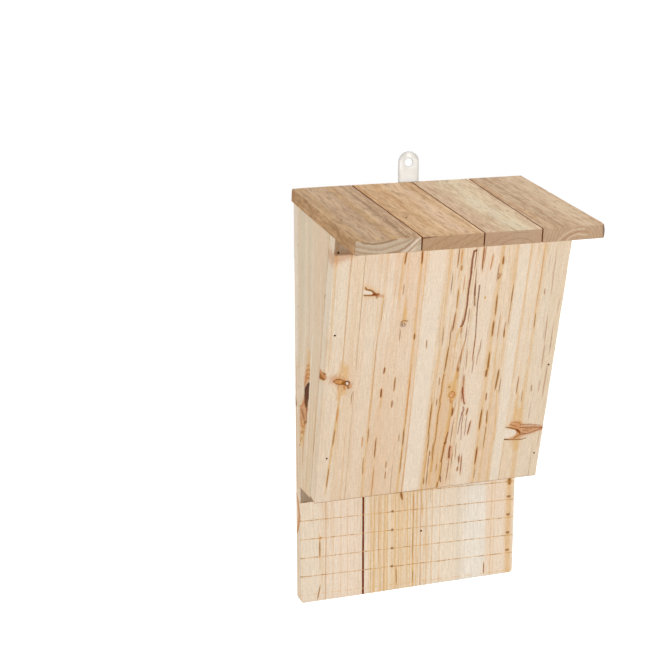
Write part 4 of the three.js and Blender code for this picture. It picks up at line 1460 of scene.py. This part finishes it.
def roof_material(node, grain, look, slide):
    """Roof wood: faces, sawn ends, dust over both, and the long edges, with painted shade in the seams.
    """
    material, wood = new_finish(f"{node}_wood", Wood, grain, slide)
    late = roof_rings(wood, look)
    roof_faces(wood, look, ROOF_BANDS[node], late)
    ends = abs(wood.facing(grain.along)).fade(0.5, 0.85)
    roof_ends(wood, look, ROOF_STROKES[node], late, ends)
    wood.paint(0.06, "fff6ec")
    # The first board's outer left face is patchy brown; faces that meet a neighbour in a seam are painted
    # dark brown as painted shade
    right = wood.facing(RIGHT)
    if node == ROOF_BOARDS[0]:
        worn = wood.noise((5, 16, 2.5), detail=3.0, roughness=0.7, shift=31.0)
        wood.paint((-right).fade(0.5, 0.8) * worn.fade(0.38, 0.62, 0.5), "946c48")
    else:
        wood.paint((-right).fade(0.5, 0.8, 0.8), "burn")
    if node != ROOF_BOARDS[-1]:
        wood.paint(right.fade(0.5, 0.8, 0.8), "burn")
    wood.fibres = wood.noise((0.45, 20, 0.45), shift=7.0)
    wood.lines = late
    return material, wood


# How far a corner of the roof is broken off, and how deep: the first and the last board's
WORN_CORNER = (4 * MM, 0.8 * MM)
BROKEN_CORNER = (5 * MM, 1.3 * MM)


class BATBOX_OT_roof(bpy.types.Operator):
    """Build the four roof boards, with sawn ends and a broken corner"""

    bl_idname = "batbox.roof"
    bl_label = "Roof"

    def execute(self, context):
        for i, node in enumerate(ROOF_BOARDS):
            low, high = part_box(node)
            grain = Grain(Vector((low.x, *ROOF_HEEL.yz)), RIGHT, ROOF_DOWN, ROOF_OUT)
            mesh = board_mesh(node, ROOF_DOWN)
            if node == ROOF_BOARDS[-1]:
                place = Vector((high.x, *ROOF_TOE.yz))
                chip(mesh, place, RIGHT + ROOF_DOWN + ROOF_OUT, *BROKEN_CORNER)
            if node == ROOF_BOARDS[0]:
                place = Vector((low.x, *ROOF_HEEL.yz))
                chip(mesh, place, ROOF_OUT - RIGHT - ROOF_DOWN, *WORN_CORNER)
            for vertex in mesh.verts:
                drifted(vertex)
            piece = new_object(f"{node}_worn", mesh)
            cut(piece, nail_bores("roof_nail"))
            slide = (6.1 * i + 2, 3.3 * i, 1.7 * i)
            material, wood = roof_material(node, grain, ROOF_LOOKS[i], slide)
            wood.done()
            finish_piece(piece, material, "roof_wood", node)
        return {"FINISHED"}


def zinc_material():
    """Galvanised sheet with a faint spangle, duller towards its rim and its top."""
    metal = bpy.context.scene.bat_box_metal
    material, finish = new_finish("galvanised_zinc")
    place = finish.node("ShaderNodeTexCoord", output="Object")
    cells = {"Vector": finish.stretch(place, (3.2 * MM, 3.2 * MM, 3.2 * MM), Vector((1, 2, 3)))}
    spangle = finish.measure(
        finish.node("ShaderNodeTexVoronoi", {}, {**cells, "Scale": 1.0}, "Color"), RIGHT)
    cloud = finish.grain(finish.stretch(place, (6 * MM, 6 * MM, 9 * MM), Vector((5, 1, 2))), 3.0)
    level = spangle * 0.08 + cloud * 0.16 + 0.86
    colour = finish.mix(1.0, metal.zinc, level, "MULTIPLY")
    low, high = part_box("hanger_plate")
    off = finish.measure(place, RIGHT)
    rise = (finish.measure(place, UP) - (high.z - high.x)).most(0.0)
    rim = (off * off + rise * rise) ** 0.5
    # Greyer towards the plate's top and towards its rim
    colour = finish.mix(rise.fade(0, 6 * MM, 0.25), colour, metal.greyer_rim_and_top)
    colour = finish.mix(rim.fade(high.x - 2.4 * MM, high.x, 0.5), colour, metal.greyer_rim_and_top)
    roughness = spangle * 0.12 + cloud * 0.2 + 0.46
    finish.surface(colour, roughness, cloud + spangle * 0.3, 0.03 * MM, Metallic=0.6)
    return material


def steel_material():
    """Dull, stained steel of the nails and screws."""
    metal = bpy.context.scene.bat_box_metal
    material, finish = new_finish("dull_steel")
    place = finish.node("ShaderNodeTexCoord", output="Object")
    cloud = finish.grain(finish.stretch(place, (0.9 * MM, 0.9 * MM, 0.9 * MM), Vector((2, 7, 1))), 3.0)
    colour = finish.mix(cloud.fade(0.42, 0.66, 0.8), metal.steel, metal.rust)
    roughness = cloud * 0.3 + 0.35
    dull = {"Metallic": 0.2, "Specular IOR Level": 0.15}
    finish.surface(colour, roughness, cloud, 0.03 * MM, **dull)
    return material


class BATBOX_OT_hanging_plate(bpy.types.Operator):
    """Build the hanging plate: a strip with a round eye, screwed to the back board"""

    bl_idname = "batbox.hanging_plate"
    bl_label = "Hanging plate"

    def execute(self, context):
        metal = context.scene.bat_box_metal
        low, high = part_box("hanger_plate")
        half = high.x
        eye_height = high.z - half
        foot_radius = 2 * MM
        outline = []
        for centre_x, centre_z, radius, first, last, steps in (
                (0, eye_height, half, 0, 180, 48),
                (foot_radius - half, low.z + foot_radius, foot_radius, 180, 270, 8),
                (half - foot_radius, low.z + foot_radius, foot_radius, 270, 360, 8)):
            for i in range(steps + 1):
                angle = math.radians(first + (last - first) * i / steps)
                outline.append((centre_x + radius * math.cos(angle),
                                centre_z + radius * math.sin(angle)))
        mesh = loft([[(x, y, z) for x, z in outline] for y in (low.y, high.y)])
        rim_angle = math.radians(60)
        rounded(mesh, [e for e in mesh.edges if e.calc_face_angle(0) > rim_angle],
                metal.edge_radius)
        piece = new_object("hanger_plate_zinc", mesh)
        eye = 3.4 * MM
        flare = 2.4 * MM
        past = 3 * MM
        sunk = 0.35 * MM
        middle = (low.y + high.y) / 2
        eye_profile = [(-past, 0), (-past, eye + flare), (low.y - middle, eye + sunk),
                       (low.y - middle + sunk, eye), (high.y - middle - sunk, eye),
                       (high.y - middle, eye + sunk), (past, eye + flare), (past, 0)]
        cutters = [turned(eye_profile, Vector((0, middle, eye_height)), WALLWARD, sides=48)]
        cutters += [bore(screw, SCREW_BORE, WALLWARD) for screw in SCREWS]
        cut(piece, cutters)
        finish_piece(piece, zinc_material(), "galvanised_steel", "hanger_plate")
        return {"FINISHED"}


class BATBOX_OT_screws(bpy.types.Operator):
    """Build the two cross-recessed screws that hold the hanging plate"""

    bl_idname = "batbox.screws"
    bl_label = "Plate screws"

    def execute(self, context):
        material = steel_material()
        for node in SCREWS:
            crown = head_place(node, WALLWARD)
            low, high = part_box(node)
            shank = 1.5 * MM
            point = 3 * MM
            head = (high.x - low.x) / 2
            height = 2 * MM
            domed_share = 0.38
            steps = 6
            profile = [(low.y - crown.y, 0), (low.y - crown.y + point, shank), (-height, shank),
                       (-height, head)]
            for i in range(steps + 1):
                turn = math.pi / 2 * i / steps
                profile.append((-height / 2 + height / 2 * math.sin(turn),
                                head * (1 - domed_share + domed_share * math.cos(turn))))
            profile.append((0, 0))
            piece = new_object(f"{node}_turned", turned(profile, crown, WALLWARD, sides=40))
            for slot in (self.slot(crown, 0.9, 3.4), self.slot(crown, 3.4, 0.9)):
                cut(piece, [slot])
            finish_piece(piece, material, "fastener_steel", node)
        return {"FINISHED"}

    def slot(self, crown, width, height):
        """One arm of the cross in a screw's head, narrower at its bottom; sizes in mm."""
        depth = 2.2
        bottom_share = 0.6
        mesh = bmesh.new()
        bmesh.ops.create_cube(mesh, size=1)
        for vertex in mesh.verts:
            x, y, z = vertex.co
            taper = 1 if y > 0 else bottom_share
            vertex.co = crown + Vector((x * width * taper, y * depth, z * height * taper)) * MM
        return mesh


class BATBOX_OT_nails(bpy.types.Operator):
    """Give the sunk nails their dull, stained steel"""

    bl_idname = "batbox.nails"
    bl_label = "Nails"

    def execute(self, context):
        material = steel_material()
        for node in NAILS:
            for slot in NODES[node].material_slots:
                slot.material = material
        return {"FINISHED"}


class BATBOX_OT_stage(bpy.types.Operator):
    """Set up the floor, lights and camera"""

    bl_idname = "batbox.stage"
    bl_label = "Studio"

    def execute(self, context):
        studio = context.scene.bat_box_studio
        self.floor(studio)
        self.world(context.scene, studio)
        self.lamp("key_light", studio.key_place, studio.key, studio.key_radius)
        for name, towards, level in (("left_light", (-0.98, 0.06, 0.18), studio.fill),
                                     ("right_light", (0.95, 0.22, 0.2), studio.fill),
                                     ("top_light", (0.0, 0.12, 1.0), studio.top),
                                     ("rear_light", (0.2, 0.95, 0.25), studio.rear)):
            self.sun(name, Vector(towards), level)
        self.camera(context.scene, studio)
        context.scene.view_settings.view_transform = "Standard"
        return {"FINISHED"}

    def floor(self, studio):
        """A floor that the camera sees white, and that lights the box as pale paper would."""
        mesh = bmesh.new()
        half_width = 6.0
        bmesh.ops.create_grid(mesh, x_segments=1, y_segments=1, size=half_width)
        floor = new_object("studio_floor", mesh)
        floor.location.z = CAD_BOX[0][2] - studio.floor_drop
        material, finish = new_finish("floor_paint")
        direct = finish.direct_rays()
        place = finish.node("ShaderNodeTexCoord", output="Object")
        cloud = finish.grain(finish.stretch(place, (0.4, 0.4, 0.4), Vector((1, 1, 1))), 2.0)
        paint = finish.mix(cloud, tint("fafafa"), tint("ffffff"))
        colour = finish.mix(direct, tint("b09a86"), paint)
        glow = finish.mix(direct, tint("000000"), tint("a0a0a0"))
        flat = {"Specular IOR Level": 0.0, "Emission Color": glow, "Emission Strength": 1.0}
        finish.surface(colour, 0.9, cloud, 0.01 * MM, **flat)
        floor.data.materials.append(material)

    def world(self, scene, studio):
        """White for the camera, and a softer level for what it lights."""
        world = bpy.data.worlds.new("studio_world")
        world.use_nodes = True
        scene.world = world
        finish = Finish(world.node_tree)
        strength = finish.direct_rays() * (1 - studio.ambient) + studio.ambient
        light = finish.node("ShaderNodeBackground", {}, [tint("ffffff"), strength])
        finish.node("ShaderNodeOutputWorld", {}, {"Surface": light})

    def sun(self, name, towards, level):
        """A far, soft light whose level is that of a white card facing it."""
        data = bpy.data.lights.new(name, "SUN")
        data.energy = level * math.pi
        data.angle = math.radians(30)
        placed(name, data).rotation_euler = towards.to_track_quat("Z", "Y").to_euler()

    def lamp(self, name, place, level, radius):
        """A near light without falloff, whose level is that of a white card facing it."""
        data = bpy.data.lights.new(name, "POINT")
        data.energy = level * 4 * math.pi ** 2
        data.shadow_soft_size = radius
        data.use_nodes = True
        finish = Finish(data.node_tree)
        strength = finish.node("ShaderNodeLightFalloff", {}, {"Strength": 1.0}, "Constant")
        light = finish.node("ShaderNodeEmission", {}, {"Strength": strength})
        finish.node("ShaderNodeOutputLight", {}, {"Surface": light})
        placed(name, data).location = place

    def camera(self, scene, studio):
        """A camera turned, dipped and leaned as its settings say."""
        data = bpy.data.cameras.new("camera")
        data.lens = studio.lens
        data.sensor_fit = "HORIZONTAL"
        data.sensor_width = 36
        turn, dip, roll = studio.camera_turn, studio.camera_dip, studio.camera_roll
        ahead = Vector((math.sin(turn) * math.cos(dip), math.cos(turn) * math.cos(dip), -math.sin(dip)))
        level = ahead.cross(UP).normalized()
        above = level.cross(ahead)
        right = level * math.cos(roll) + above * math.sin(roll)
        up = above * math.cos(roll) - level * math.sin(roll)
        rows = [(right[i], up[i], -ahead[i], studio.camera_place[i]) for i in range(3)]
        scene.camera = placed("camera", data)
        scene.camera.matrix_world = Matrix([*rows, (0, 0, 0, 1)])


class BATBOX_PT_panel(bpy.types.Panel):
    """Lists the bat box's pieces in the sidebar"""

    bl_idname = "BATBOX_PT_panel"
    bl_label = "Bat Box"
    bl_space_type = "VIEW_3D"
    bl_region_type = "UI"
    bl_category = "Bat Box"

    def draw(self, context):
        for operator in OPERATORS:
            self.layout.operator(operator.bl_idname)
        for key in GROUPS:
            box = self.layout.box()
            group = getattr(context.scene, key)
            for name in GROUPS[key].__annotations__:
                box.prop(group, name)


GROUPS = {
    "bat_box_timber": BatBoxTimber,
    "bat_box_tints": BatBoxTints,
    "bat_box_metal": BatBoxMetal,
    "bat_box_studio": BatBoxStudio,
}
OPERATORS = [
    BATBOX_OT_stage,
    BATBOX_OT_back_board,
    BATBOX_OT_sides,
    BATBOX_OT_front_panel,
    BATBOX_OT_roof,
    BATBOX_OT_hanging_plate,
    BATBOX_OT_screws,
    BATBOX_OT_nails,
]


def register():
    for kind in [*GROUPS.values(), *OPERATORS, BATBOX_PT_panel]:
        bpy.utils.register_class(kind)
    for key, kind in GROUPS.items():
        setattr(bpy.types.Scene, key, PointerProperty(type=kind))


def unregister():
    for key in GROUPS:
        delattr(bpy.types.Scene, key)
    for kind in reversed([*GROUPS.values(), *OPERATORS, BATBOX_PT_panel]):
        bpy.utils.unregister_class(kind)


def main():
    register()
    for operator in OPERATORS:
        group, name = operator.bl_idname.split(".")
        getattr(getattr(bpy.ops, group), name)()


if __name__ == "__main__":
    main()
